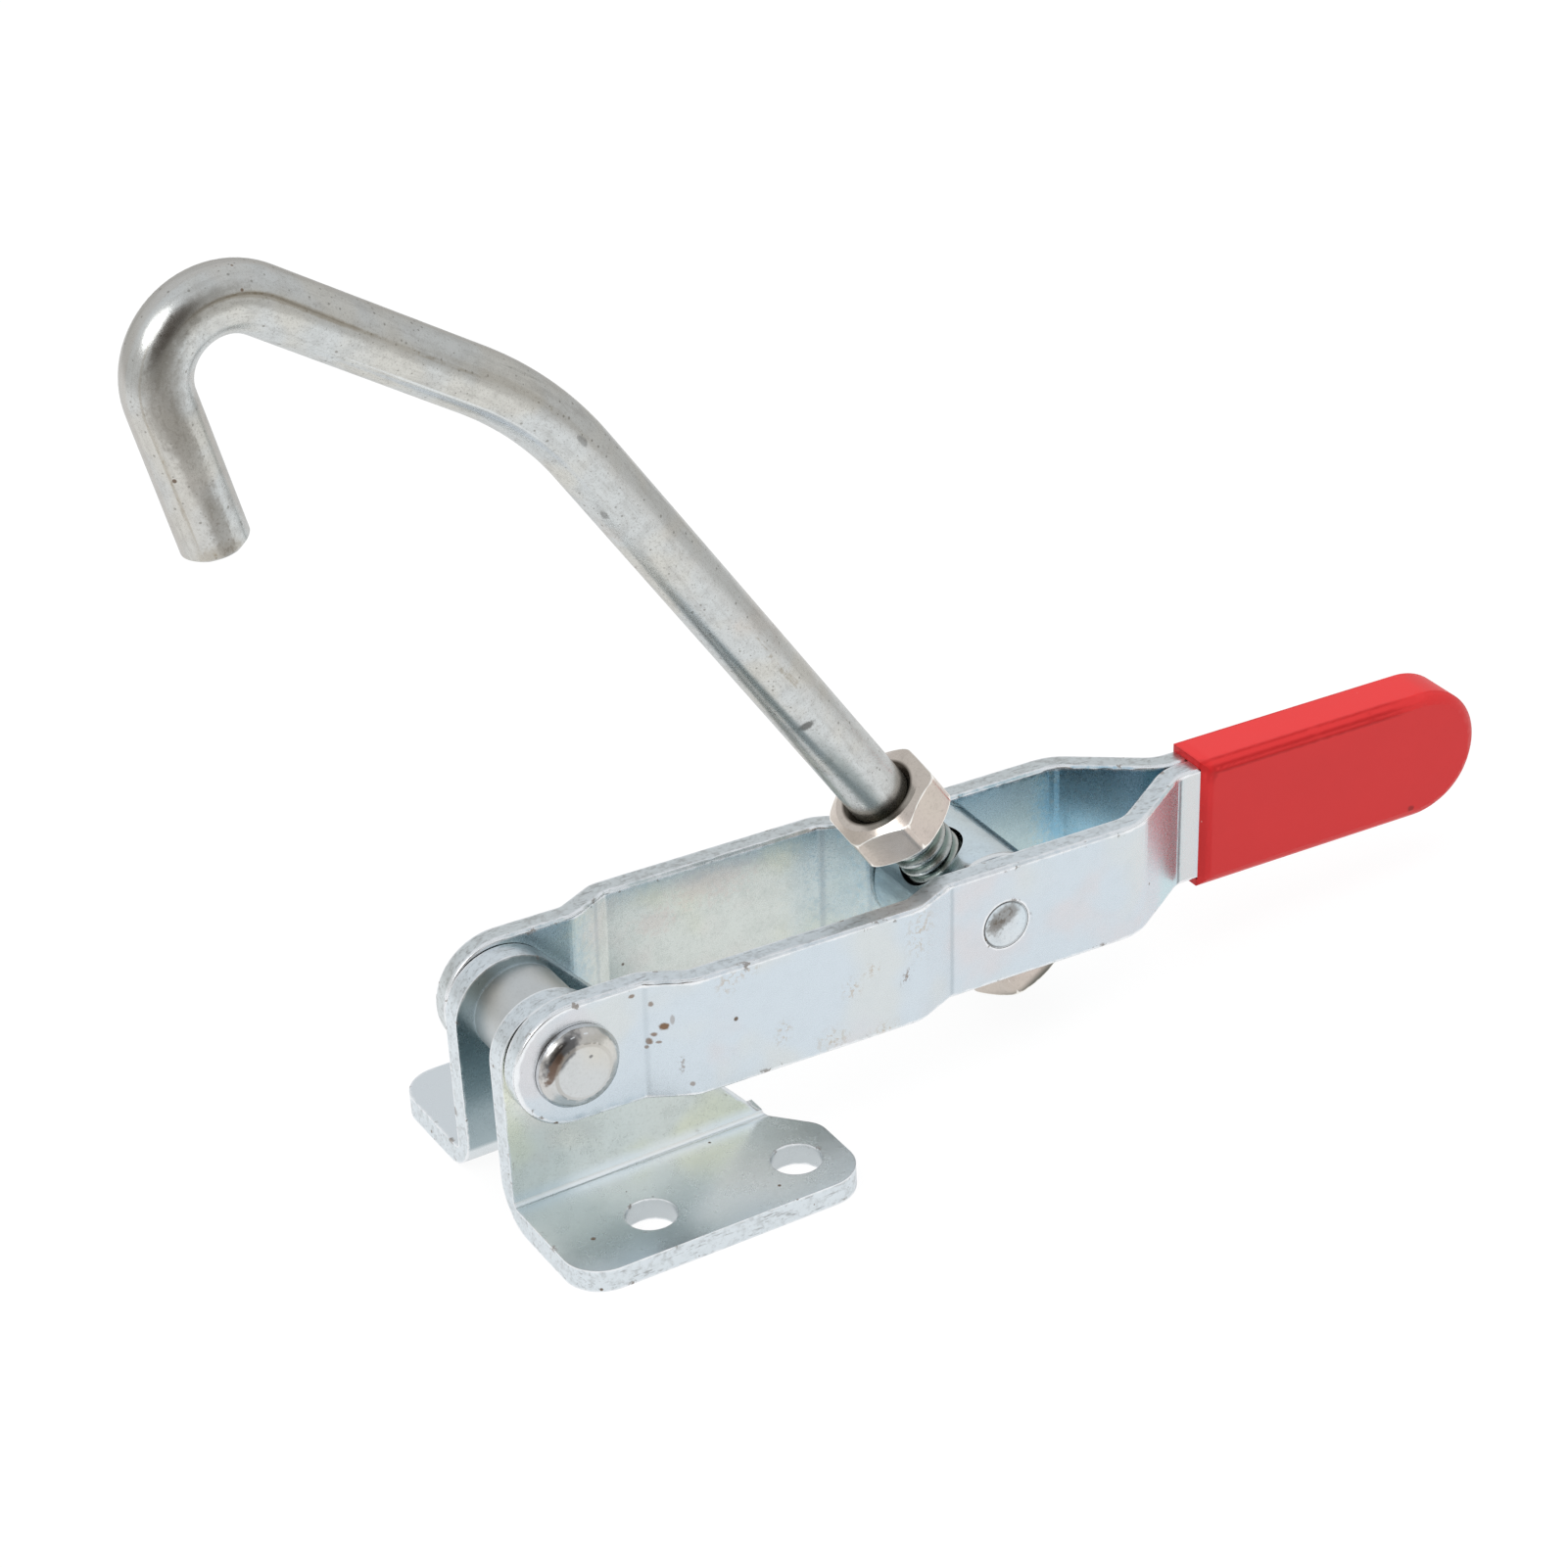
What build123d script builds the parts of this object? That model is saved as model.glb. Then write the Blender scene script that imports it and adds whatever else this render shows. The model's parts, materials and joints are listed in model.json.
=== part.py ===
from build123d import *
from math import cos, radians, sin, tan
import os

# Over centre toggle latch: folded base, bent strap handle, cross bar and hook bolt.
# Millimetres, Z up. The origin is on the mounting face, at the centre of the four
# screw holes. +X points from the pivot towards the grip.

# Base brackets
sheet_t = 3.0
hole_pitch_x = 20.0
hole_pitch_y = 35.6
hole_d = 6.4
flange_front_x = -22.9
flange_rear_x = 16.2
flange_edge_y = 25.0
flange_corner_r = 5.0
flange_nose_y = 13.0
flange_nose_r = 3.5
ear_in_y = 4.35
ear_out_y = ear_in_y + sheet_t
ear_foot_x = 11.3
ear_head_r = 7.45
ear_slope = 48.4
fold_inside_r = 0.8
fold_outside_r = 6.0

# Pivot
pivot_x = -14.6
pivot_z = 22.1
shank_r = 4.0
head_r = 5.4
head_h = 2.0
head_flat_r = 3.7
head_shoulder_r = 4.85
head_shoulder_h = 1.4
head_rim_h = 0.6
closed_head_h = 1.6
closed_head_break = 0.6
spacer_r = 5.9
fixed_fit = 0.02
running_fit = 0.05

# Handle straps, in stations along the handle from the pivot
handle_tilt = 2.0
strap_t = 3.0
strap_h = 16.2
ear_line_y = 9.0
wide_line_y = 11.8
rear_line_y = 9.15
tang_line_y = strap_t / 2
flare_start_u = 9.4
flare_end_u = 14.9
step_start_u = 45.7
step_end_u = 51.4
neck_start_u = 79.3
neck_end_u = 90.5
strap_end_u = 137.2
tight_bend_r = 2.6
neck_bend_r = 6.0

# Dipped grip
grip_mouth_u = 94.0
grip_coat = 1.0
grip_edge_break = 1.1
grip_edge_ease = 0.4

# Cross bar
bar_u = 59.75
bar_r = 8.2
bar_half_length = 7.5
bar_edge = 0.5
journal_r = 3.25
journal_end_y = 10.6
bolt_hole_r = 4.5

# Hook bolt: directions are angles above the horizontal towards the hook
bolt_r = 3.95
shank_angle = 57.1
arm_angle = 33.7
hook_angle = -103.0
shank_length = 96.7
arm_length = 57.6
hook_length = 38.8
crank_r = 43.8
hook_r = 8.0
tail_length = 16.6
bolt_end_chamfer = 0.6

# Nuts
nut_flats = 13.0
nut_h = 6.5
nut_chamfer_angle = 30.0
nut_mouth = 0.65
nut_face_share = 0.95
nut_fit = 0.05
upper_nut_start = 14.4
upper_nut_turn = 54.0
lower_nut_start = -15.4
lower_nut_turn = 28.0

# Sheared rims are broken by this much; cutting tools overrun the work by this much.
rim_break = 0.35
overrun = 30.0

os.makedirs("parts", exist_ok=True)

handle_x = Vector(cos(radians(handle_tilt)), 0, -sin(radians(handle_tilt)))
handle_z = Vector(sin(radians(handle_tilt)), 0, cos(radians(handle_tilt)))
pivot_point = Vector(pivot_x, 0, pivot_z)
handle_plan = Plane(origin=pivot_point, x_dir=handle_x, z_dir=handle_z)
handle_side = Plane(origin=pivot_point, x_dir=handle_x, z_dir=(0, -1, 0))
bar_point = pivot_point + handle_x * bar_u
shank_dir = Vector(-cos(radians(shank_angle)), 0, sin(radians(shank_angle)))
arm_dir = Vector(-cos(radians(arm_angle)), 0, sin(radians(arm_angle)))
hook_dir = Vector(-cos(radians(hook_angle)), 0, sin(radians(hook_angle)))

shank_plane = Plane(origin=bar_point, x_dir=(0, 1, 0), z_dir=shank_dir)

# Outline of the far bracket: the ear rises to a rounded head round the pivot, the
# flange runs outwards with two round corners and a sloping inner end.
ear_apex_z = sheet_t + (ear_foot_x - flange_front_x) * tan(radians(ear_slope))
with BuildPart() as far_bracket_outline:
    with BuildSketch(Plane.XZ.offset(-ear_in_y)) as ear_outline:
        with BuildLine():
            Polyline(
                (flange_front_x, 0),
                (flange_front_x, ear_apex_z),
                (ear_foot_x, sheet_t),
                (ear_foot_x, 0),
                close=True,
            )
        make_face()
        apex = ear_outline.vertices().sort_by_distance((flange_front_x, ear_apex_z, 0))[0]
        fillet(apex, ear_head_r)
    extrude(amount=-(sheet_t + fold_inside_r))
    with BuildSketch() as flange_outline:
        with BuildLine():
            Polyline(
                (flange_front_x, ear_in_y),
                (flange_front_x, flange_edge_y),
                (flange_rear_x, flange_edge_y),
                (flange_rear_x, flange_nose_y),
                (ear_foot_x, ear_out_y),
                (ear_foot_x, ear_in_y),
                close=True,
            )
        make_face()
        outer_corners = flange_outline.vertices().group_by(Axis.Y)[-1]
        fillet(outer_corners, flange_corner_r)
        nose = flange_outline.vertices().sort_by_distance((flange_rear_x, flange_nose_y, 0))[0]
        fillet(nose, flange_nose_r)
    extrude(amount=sheet_t + fold_inside_r)

# Far base bracket: one sheet with a sharp inside fold and a full outside one.
with BuildPart() as base_bracket_far:
    with BuildSketch(Plane.YZ) as fold_section:
        with BuildLine():
            Polyline(
                (ear_in_y, 0),
                (flange_edge_y + overrun, 0),
                (flange_edge_y + overrun, sheet_t),
                (ear_out_y, sheet_t),
                (ear_out_y, ear_apex_z),
                (ear_in_y, ear_apex_z),
                close=True,
            )
        make_face()
        outside = fold_section.vertices().sort_by_distance((ear_in_y, 0, 0))[0]
        fillet(outside, fold_outside_r)
        inside = fold_section.vertices().sort_by_distance((ear_out_y, sheet_t, 0))[0]
        fillet(inside, fold_inside_r)
    extrude(amount=overrun, both=True)
    add(far_bracket_outline.part, mode=Mode.INTERSECT)
    with BuildSketch():
        with Locations((-hole_pitch_x / 2, hole_pitch_y / 2), (hole_pitch_x / 2, hole_pitch_y / 2)):
            Circle(hole_d / 2)
    extrude(amount=sheet_t, mode=Mode.SUBTRACT)
    with BuildSketch(Plane.XZ.offset(-ear_in_y)):
        with Locations((pivot_x, pivot_z)):
            Circle(shank_r + fixed_fit)
    extrude(amount=-sheet_t, mode=Mode.SUBTRACT)
base_bracket_far.part.label = "base_bracket_far"

with BuildPart() as base_bracket_near:
    mirror(base_bracket_far.part, about=Plane.XZ)
base_bracket_near.part.label = "base_bracket_near"

# Spacer bush between the ears.
with BuildPart() as pivot_spacer:
    with BuildSketch(handle_side):
        Circle(spacer_r)
        Circle(shank_r + fixed_fit, mode=Mode.SUBTRACT)
    extrude(amount=ear_in_y, both=True)
pivot_spacer.part.label = "pivot_spacer"

# Rivet, turned about the pivot axis: on the near side a formed head with a flat crown
# and falling shoulders, on the far side the lower head it was made with.
strap_face_y = ear_line_y + strap_t / 2 + running_fit
near_head_y = strap_face_y + head_h
far_head_y = strap_face_y + closed_head_h
with BuildPart() as pivot_rivet:
    with BuildSketch(Plane.XY.move(Location((pivot_x, 0, pivot_z)))):
        with BuildLine():
            Polyline(
                (0, -near_head_y),
                (head_flat_r, -near_head_y),
                (head_shoulder_r, -strap_face_y - head_shoulder_h),
                (head_r, -strap_face_y - head_rim_h),
                (head_r, -strap_face_y),
                (shank_r, -strap_face_y),
                (shank_r, strap_face_y),
                (head_r, strap_face_y),
                (head_r, far_head_y - closed_head_break),
                (head_r - closed_head_break, far_head_y),
                (0, far_head_y),
                close=True,
            )
        make_face()
    revolve(axis=Axis((pivot_x, 0, pivot_z), (0, 1, 0)))
pivot_rivet.part.label = "pivot_rivet"

# Far handle strap: a flat bar bent in plan, with round ends seen from the side.
round_end_r = strap_h / 2
round_end_u = strap_end_u - round_end_r
strap_points = [
    (-overrun, ear_line_y),
    (flare_start_u, ear_line_y),
    (flare_end_u, wide_line_y),
    (step_start_u, wide_line_y),
    (step_end_u, rear_line_y),
    (neck_start_u, rear_line_y),
    (neck_end_u, tang_line_y),
    (strap_end_u + overrun, tang_line_y),
]
strap_bends = [tight_bend_r, tight_bend_r, tight_bend_r, tight_bend_r, neck_bend_r, neck_bend_r]
with BuildPart() as handle_strap_far:
    with BuildSketch(handle_plan):
        with BuildLine():
            FilletPolyline(*strap_points, radius=strap_bends)
            offset(amount=strap_t / 2, side=Side.BOTH)
        make_face()
    extrude(amount=overrun, both=True)
    with BuildSketch(handle_side):
        with Locations((round_end_u / 2, 0)):
            SlotCenterToCenter(round_end_u, strap_h)
    extrude(amount=overrun, both=True, mode=Mode.INTERSECT)
    chamfer(handle_strap_far.edges(Select.NEW), rim_break)
    with BuildSketch(handle_side):
        Circle(shank_r + running_fit)
        with Locations((bar_u, 0)):
            Circle(journal_r + running_fit)
    extrude(amount=overrun, both=True, mode=Mode.SUBTRACT)
handle_strap_far.part.label = "handle_strap_far"

with BuildPart() as handle_strap_near:
    mirror(handle_strap_far.part, about=Plane.XZ)
handle_strap_near.part.label = "handle_strap_near"

# Dipped grip: a skin of even thickness over the two tangs, open at the neck. Its edges
# are rounded off in two steps, a broad bevel and a narrow one where that meets the face.
grip_r = round_end_r + grip_coat
with BuildPart() as handle_grip:
    with BuildSketch(handle_side):
        with Locations((grip_mouth_u, 0)):
            Rectangle(round_end_u - grip_mouth_u, 2 * grip_r, align=(Align.MIN, Align.CENTER))
        with Locations((round_end_u, 0)):
            Circle(grip_r)
    extrude(amount=strap_t + grip_coat, both=True)
    chamfer(handle_grip.faces().filter_by(Plane.XZ).edges(), grip_edge_break)
    chamfer(handle_grip.faces().filter_by(Plane.XZ).edges(), grip_edge_ease)
    with BuildSketch(handle_side):
        with Locations((grip_mouth_u - overrun, 0)):
            Rectangle(round_end_u - grip_mouth_u + overrun, strap_h, align=(Align.MIN, Align.CENTER))
        with Locations((round_end_u, 0)):
            Circle(round_end_r)
    extrude(amount=strap_t, both=True, mode=Mode.SUBTRACT)
handle_grip.part.label = "handle_grip"

# Cross bar: journals run in the straps, the hook bolt slides through the cross hole.
with BuildPart() as trunnion:
    with BuildSketch(handle_side):
        with Locations((bar_u, 0)):
            Circle(bar_r)
    extrude(amount=bar_half_length, both=True)
    chamfer(trunnion.edges(), bar_edge)
    with BuildSketch(handle_side):
        with Locations((bar_u, 0)):
            Circle(journal_r)
    extrude(amount=journal_end_y, both=True)
    with BuildSketch(shank_plane):
        Circle(bolt_hole_r)
    extrude(amount=overrun, both=True, mode=Mode.SUBTRACT)
trunnion.part.label = "trunnion"

# Hook bolt: round bar with an easy crank bend and a tight hook bend.
tail_point = bar_point - shank_dir * tail_length
crank_point = bar_point + shank_dir * shank_length
hook_point = crank_point + arm_dir * arm_length
tip_point = hook_point + hook_dir * hook_length
bolt_route = [(p.X, p.Z) for p in (tail_point, crank_point, hook_point, tip_point)]
with BuildPart() as hook_bolt:
    with BuildLine(Plane.XZ):
        FilletPolyline(*bolt_route, radius=[crank_r, hook_r])
    with BuildSketch(Plane(origin=tail_point, x_dir=(0, 1, 0), z_dir=shank_dir)):
        Circle(bolt_r)
    sweep()
    bolt_ends = hook_bolt.faces().filter_by(GeomType.PLANE)
    chamfer(bolt_ends.edges(), bolt_end_chamfer)
hook_bolt.part.label = "hook_bolt"

# Hexagon nut standing on Z, with chamfered corners and countersunk mouths.
nut_corner_r = nut_flats / 2 / cos(radians(30))
nut_face_r = nut_flats / 2 * nut_face_share
nut_chamfer_h = (nut_corner_r - nut_face_r) * tan(radians(nut_chamfer_angle))
nut_bore_r = bolt_r + nut_fit
with BuildPart() as nut_blank:
    with BuildSketch():
        RegularPolygon(nut_corner_r, 6)
    extrude(amount=nut_h)
    with BuildSketch(Plane.XZ):
        with BuildLine():
            Polyline(
                (0, 0),
                (nut_face_r, 0),
                (nut_corner_r, nut_chamfer_h),
                (nut_corner_r, nut_h - nut_chamfer_h),
                (nut_face_r, nut_h),
                (0, nut_h),
                close=True,
            )
        make_face()
    revolve(axis=Axis.Z, mode=Mode.INTERSECT)
    with BuildSketch(Plane.XZ):
        with BuildLine():
            Polyline(
                (0, 0),
                (nut_bore_r + nut_mouth, 0),
                (nut_bore_r, nut_mouth),
                (nut_bore_r, nut_h - nut_mouth),
                (nut_bore_r + nut_mouth, nut_h),
                (0, nut_h),
                close=True,
            )
        make_face()
    revolve(axis=Axis.Z, mode=Mode.SUBTRACT)

with BuildPart() as upper_nut:
    add(shank_plane.offset(upper_nut_start).location * Rot(0, 0, upper_nut_turn) * nut_blank.part)
upper_nut.part.label = "upper_nut"

with BuildPart() as lower_nut:
    add(shank_plane.offset(lower_nut_start).location * Rot(0, 0, lower_nut_turn) * nut_blank.part)
lower_nut.part.label = "lower_nut"

export_step(base_bracket_near.part, "parts/base_bracket_near.step")
export_step(base_bracket_far.part, "parts/base_bracket_far.step")
export_step(pivot_rivet.part, "parts/pivot_rivet.step")
export_step(pivot_spacer.part, "parts/pivot_spacer.step")
export_step(handle_strap_near.part, "parts/handle_strap_near.step")
export_step(handle_strap_far.part, "parts/handle_strap_far.step")
export_step(handle_grip.part, "parts/handle_grip.step")
export_step(trunnion.part, "parts/trunnion.step")
export_step(hook_bolt.part, "parts/hook_bolt.step")
export_step(upper_nut.part, "parts/upper_nut.step")
export_step(lower_nut.part, "parts/lower_nut.step")
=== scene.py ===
# %% [markdown]
# # An over centre toggle latch
# The latch is bent from flat zinc plated strip and round bar. Nearly every surface is
# bright metal, so the picture depends on three things: clean shading on bent sheet, a
# plating that is not one even grey, and something pale for the metal to reflect. The
# frame comes first: the pieces are loaded at their real size, and nothing below moves them.

# %% Load the frame
import json
from functools import partial
from math import atan2, ceil, cos, degrees, hypot, pi, radians, sin

import bmesh
import bpy
import numpy as np
from mathutils import Matrix, Vector, kdtree

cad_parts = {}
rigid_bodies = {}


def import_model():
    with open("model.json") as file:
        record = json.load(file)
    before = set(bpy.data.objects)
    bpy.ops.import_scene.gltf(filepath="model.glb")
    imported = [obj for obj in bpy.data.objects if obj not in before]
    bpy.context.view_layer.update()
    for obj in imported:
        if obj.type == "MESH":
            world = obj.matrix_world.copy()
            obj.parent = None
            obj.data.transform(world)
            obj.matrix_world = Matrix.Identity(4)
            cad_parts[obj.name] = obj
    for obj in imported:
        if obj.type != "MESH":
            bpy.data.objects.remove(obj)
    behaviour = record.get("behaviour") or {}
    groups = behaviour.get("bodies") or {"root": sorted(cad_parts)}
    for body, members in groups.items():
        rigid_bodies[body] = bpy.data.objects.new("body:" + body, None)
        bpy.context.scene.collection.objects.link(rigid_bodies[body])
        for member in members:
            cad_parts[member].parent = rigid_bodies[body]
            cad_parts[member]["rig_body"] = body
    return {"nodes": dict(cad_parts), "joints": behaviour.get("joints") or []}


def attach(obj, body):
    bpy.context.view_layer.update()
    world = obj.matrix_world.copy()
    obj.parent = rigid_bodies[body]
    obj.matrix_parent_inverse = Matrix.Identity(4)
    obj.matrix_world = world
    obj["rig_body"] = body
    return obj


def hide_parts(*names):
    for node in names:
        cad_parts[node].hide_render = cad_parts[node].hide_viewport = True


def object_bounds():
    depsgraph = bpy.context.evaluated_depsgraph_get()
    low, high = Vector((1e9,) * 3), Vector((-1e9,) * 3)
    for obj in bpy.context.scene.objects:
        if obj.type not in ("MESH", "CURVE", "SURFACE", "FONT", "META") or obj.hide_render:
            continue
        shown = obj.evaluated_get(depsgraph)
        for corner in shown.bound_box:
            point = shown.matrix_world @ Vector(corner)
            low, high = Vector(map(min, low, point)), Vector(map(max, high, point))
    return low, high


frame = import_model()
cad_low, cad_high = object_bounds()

MM = 0.001
scene = bpy.context.scene
scene.view_settings.view_transform = "Standard"


def in_mm(values):
    return [round(value / MM, 1) for value in values]


print("nodes:", sorted(frame["nodes"]))
print("box in mm:", in_mm(cad_low), in_mm(cad_high))

# %% [markdown]
# ## Where the joints are
# The joints of the frame give the two axes that everything hangs from: the pivot of the
# handle and the cross bar. The line of the hook bolt comes from the joint that lets it
# turn.

# %% Axes read from the joints
joints = {joint["name"]: joint for joint in frame["joints"]}
pivot = Vector(joints["handle_pivot"]["pos_m"])
bar = Vector(joints["bar_swivel"]["pos_m"])
shank_dir = Vector(joints["hook_turn"]["axis"]).normalized()
handle_dir = (bar - pivot).normalized()
handle_up = Vector((-handle_dir.z, 0, handle_dir.x))
print("handle tilt:", round(degrees(atan2(-handle_dir.z, handle_dir.x)), 2), "degrees")

# %% [markdown]
# ## Camera
# A long lens from about half a metre, turned a little off the handle's line and looking
# down by a third of a right angle. The lens is worked out from the focal length in
# picture widths.

# %% Camera
def placed(name, data):
    """A new object in the scene."""
    thing = bpy.data.objects.new(name, data)
    scene.collection.objects.link(thing)
    return thing


PICTURE = 1601
FOCAL_PIXELS = 4363.5
SENSOR = 36.0
camera_turn, camera_rise, camera_roll = radians(28.78), radians(30.10), radians(-3.24)
camera_aim = Vector((45.4, 0, 30)) * MM
camera_slide, camera_lift, camera_distance = -21.69 * MM, 4.21 * MM, 529.23 * MM

level_right = Vector((cos(camera_turn), -sin(camera_turn), 0))
level_up = Vector((
    sin(camera_rise) * sin(camera_turn), sin(camera_rise) * cos(camera_turn), cos(camera_rise)))
camera_back = level_right.cross(level_up)
camera_right = level_right * cos(camera_roll) + level_up * sin(camera_roll)
camera_up = level_up * cos(camera_roll) - level_right * sin(camera_roll)

camera = placed("camera", bpy.data.cameras.new("camera"))
camera.data.sensor_width = SENSOR
camera.data.lens = FOCAL_PIXELS / PICTURE * SENSOR
camera.data.clip_start = 0.01
camera.rotation_mode = "QUATERNION"
camera.rotation_quaternion = Matrix((camera_right, camera_up, camera_back)).transposed().to_quaternion()
camera.location = (
    camera_aim + camera_right * camera_slide + camera_up * camera_lift + camera_back * camera_distance
)
scene.camera = camera
print("lens:", round(camera.data.lens, 1), "mm")

# %% [markdown]
# ## Light
# Bright metal shows the room more than its own colour, so the room is planned first. The
# latch stands on a white table that ends a forearm's length away. Past its edge the room
# is a paler grey than it looks, with one dark patch in front and above, since metal needs
# something dark to mirror. The table's edge draws the crisp line along the round bar. A
# level face looks up into the room, an upright face looks down at the table.


# %% Small tools for node trees
def plug(socket, value):
    """Links an output to the socket, or writes a plain number, colour or material there."""
    if isinstance(value, bpy.types.NodeSocket):
        socket.id_data.links.new(value, socket)
    else:
        socket.default_value = (*value, 1) if socket.type == "RGBA" else value


def add_node(tree, kind, **inputs):
    node = tree.nodes.new(kind)
    for name, value in inputs.items():
        plug(node.inputs[name.replace("_", " ")], value)
    return node


def tree_of(*values):
    """The tree that the values are in. A socket knows its own, so a formula needs only sockets."""
    return next(value.id_data for value in values if isinstance(value, bpy.types.NodeSocket))


def math_node(operation, *values):
    node = tree_of(*values).nodes.new("ShaderNodeMath")
    node.operation = operation
    for socket, value in zip(node.inputs, values):
        plug(socket, value)
    return node.outputs[0]


WORDS = ("ADD", "SUBTRACT", "MULTIPLY", "DIVIDE", "MAXIMUM", "MINIMUM", "MULTIPLY_ADD", "ABSOLUTE")
formulas = [partial(math_node, word) for word in WORDS]
plus, minus, times, over, larger, smaller, times_plus, absolute = formulas


def vector_node(operation, first, second=None, scale=None):
    node = tree_of(first).nodes.new("ShaderNodeVectorMath")
    node.operation = operation
    plug(node.inputs[0], first)
    if second is not None:
        plug(node.inputs[1], second)
    if scale is not None:
        plug(node.inputs["Scale"], scale)
    return node.outputs["Value" if operation in ("DOT_PRODUCT", "LENGTH") else "Vector"]


dot = partial(vector_node, "DOT_PRODUCT")


def scaled(vector, amount):
    return vector_node("SCALE", vector, scale=amount)


def parts_of(vector):
    return add_node(tree_of(vector), "ShaderNodeSeparateXYZ", Vector=vector).outputs


def mix_colour(amount, first, second):
    """A mix node has its colours in sockets 6 and 7, and its colour result in output 2."""
    node = tree_of(amount, first, second).nodes.new("ShaderNodeMix")
    node.data_type = "RGBA"
    for place, value in ((0, amount), (6, first), (7, second)):
        plug(node.inputs[place], value)
    return node.outputs[2]


def smooth_step(value, low, high, to_low=0.0, to_high=1.0):
    """to_low below low, to_high above high, and a soft passage between them."""
    node = tree_of(value).nodes.new("ShaderNodeMapRange")
    node.interpolation_type = "SMOOTHSTEP"
    for place, item in enumerate((value, low, high, to_low, to_high)):
        plug(node.inputs[place], item)
    return node.outputs[0]


falling = partial(smooth_step, to_low=1.0, to_high=0.0)


def tell(tree, name):
    print(name, "has", len(tree.nodes), "nodes")


print("words for formulas:", ", ".join(WORDS))

# %% Table
TABLE_X, TABLE_Y = (-0.45, 0.38), (-0.36, 0.80)
TABLE_WHITE, TABLE_GLOW = 0.92, 1.03
SHADOW_SEEN, SHADOW_MIRRORED = 0.11, 0.25
WHITE = (1, 1, 1)

table_mesh = bpy.data.meshes.new("table")
(left, right), (front, rear) = TABLE_X, TABLE_Y
table_corners = [(left, front), (right, front), (right, rear), (left, rear)]
table_mesh.from_pydata([(x, y, cad_low.z) for x, y in table_corners], [], [(0, 1, 2, 3)])
table = placed("table", table_mesh)
table_paint = bpy.data.materials.new("table_paint")
table_paint.use_nodes = True
tree = table_paint.node_tree
tree.nodes.clear()
lit = add_node(tree, "ShaderNodeBsdfDiffuse", Color=(TABLE_WHITE,) * 3)
glow = add_node(tree, "ShaderNodeEmission", Color=WHITE, Strength=TABLE_GLOW)
path = tree.nodes.new("ShaderNodeLightPath").outputs
direct = larger(path["Is Camera Ray"], path["Is Transmission Ray"])
share = times(direct, 1 - SHADOW_SEEN)
share = times_plus(path["Is Glossy Ray"], 1 - SHADOW_MIRRORED, share)
mixed = tree.nodes.new("ShaderNodeMixShader")
plug(mixed.inputs[0], share)
plug(mixed.inputs[1], lit.outputs[0])
plug(mixed.inputs[2], glow.outputs[0])
plug(tree.nodes.new("ShaderNodeOutputMaterial").inputs["Surface"], mixed.outputs[0])
table.data.materials.append(table_paint)
print("table:", round(right - left, 2), "by", round(rear - front, 2), "m")

# %% Room
ROOM_LOW, ROOM_HIGH = (0.70, 0.70, 0.69), (0.80, 0.82, 0.84)
RISE_START, RISE_END = 0.10, 0.60
DARK_PATCH = (0.17, 0.15, 0.135)
DARK_WAY = Vector((-0.46, -0.73, 0.43)).normalized()
DARK_CORE, DARK_EDGE = radians(18), radians(32)

world = bpy.data.worlds.new("room")
scene.world = world
world.use_nodes = True
tree = world.node_tree
tree.nodes.clear()
way = tree.nodes.new("ShaderNodeTexCoord").outputs["Generated"]
height = parts_of(way)["Z"]
room = mix_colour(smooth_step(height, RISE_START, RISE_END), ROOM_LOW, ROOM_HIGH)
towards_dark = dot(way, DARK_WAY)
room = mix_colour(smooth_step(towards_dark, cos(DARK_EDGE), cos(DARK_CORE)), room, DARK_PATCH)
path = tree.nodes.new("ShaderNodeLightPath").outputs
seen = mix_colour(path["Is Camera Ray"], room, WHITE)
backdrop = add_node(tree, "ShaderNodeBackground", Color=seen, Strength=1.0)
plug(tree.nodes.new("ShaderNodeOutputWorld").inputs["Surface"], backdrop.outputs[0])
tell(tree, "the room")

# %% Lamps
LAMP_AIM = Vector((0.03, 0, 0.03))
lamps = {
    "softbox": ((-0.66, -0.14, 0.60), 0.50, 1.7, True),
    "ceiling": ((-0.10, -0.10, 0.80), 1.00, 3.6, False),
}
for name, (place, across, power, mirrored) in lamps.items():
    lamp = placed(name, bpy.data.lights.new(name, "AREA"))
    lamp.data.shape = "DISK"
    lamp.data.size = across
    lamp.data.energy = power
    lamp.visible_glossy = mirrored
    lamp.location = place
    aim = LAMP_AIM - Vector(place)
    lamp.rotation_mode = "QUATERNION"
    lamp.rotation_quaternion = aim.to_track_quat("-Z", "Y")
print("lamps:", ", ".join(lamps))

# %% [markdown]
# ## Clean metal from triangles
# A solid model arrives as loose triangles. They are welded, cut smaller where they are
# long, and each corner gets a normal that the large faces around it decide, so that flat
# strip stays flat right up to its broken edge. Each point also learns its distance from
# the nearest real edge. The materials lighten the metal there, partly as worn plating and
# partly as a painted highlight.

# %% Distance to the edges, and normals by face size
CELL = 1.4 * MM
EDGE_ANGLE, BLEND_ANGLE = radians(28), radians(52)
RIM_REACH, RIM_STEP = 4.0, 0.3


def edge_distance(bm, points, least):
    """Distance in mm from each point to the nearest edge that the faces turn sharply at."""
    samples = []
    for edge in bm.edges:
        if len(edge.link_faces) == 2 and edge.calc_face_angle(0) > least:
            a, b = (v.co for v in edge.verts)
            steps = max(1, ceil((b - a).length / (RIM_STEP * MM)))
            samples += [a.lerp(b, k / steps) for k in range(steps + 1)]
    if not samples:
        return np.full(len(points), RIM_REACH)
    tree = kdtree.KDTree(len(samples))
    for index, sample in enumerate(samples):
        tree.insert(sample, index)
    tree.balance()
    return np.array([min(tree.find(p)[2] / MM, RIM_REACH) for p in points])


def read_all(items, name, kind=int, width=1):
    values = np.zeros(len(items) * width, kind)
    items.foreach_get(name, values)
    return values


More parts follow.
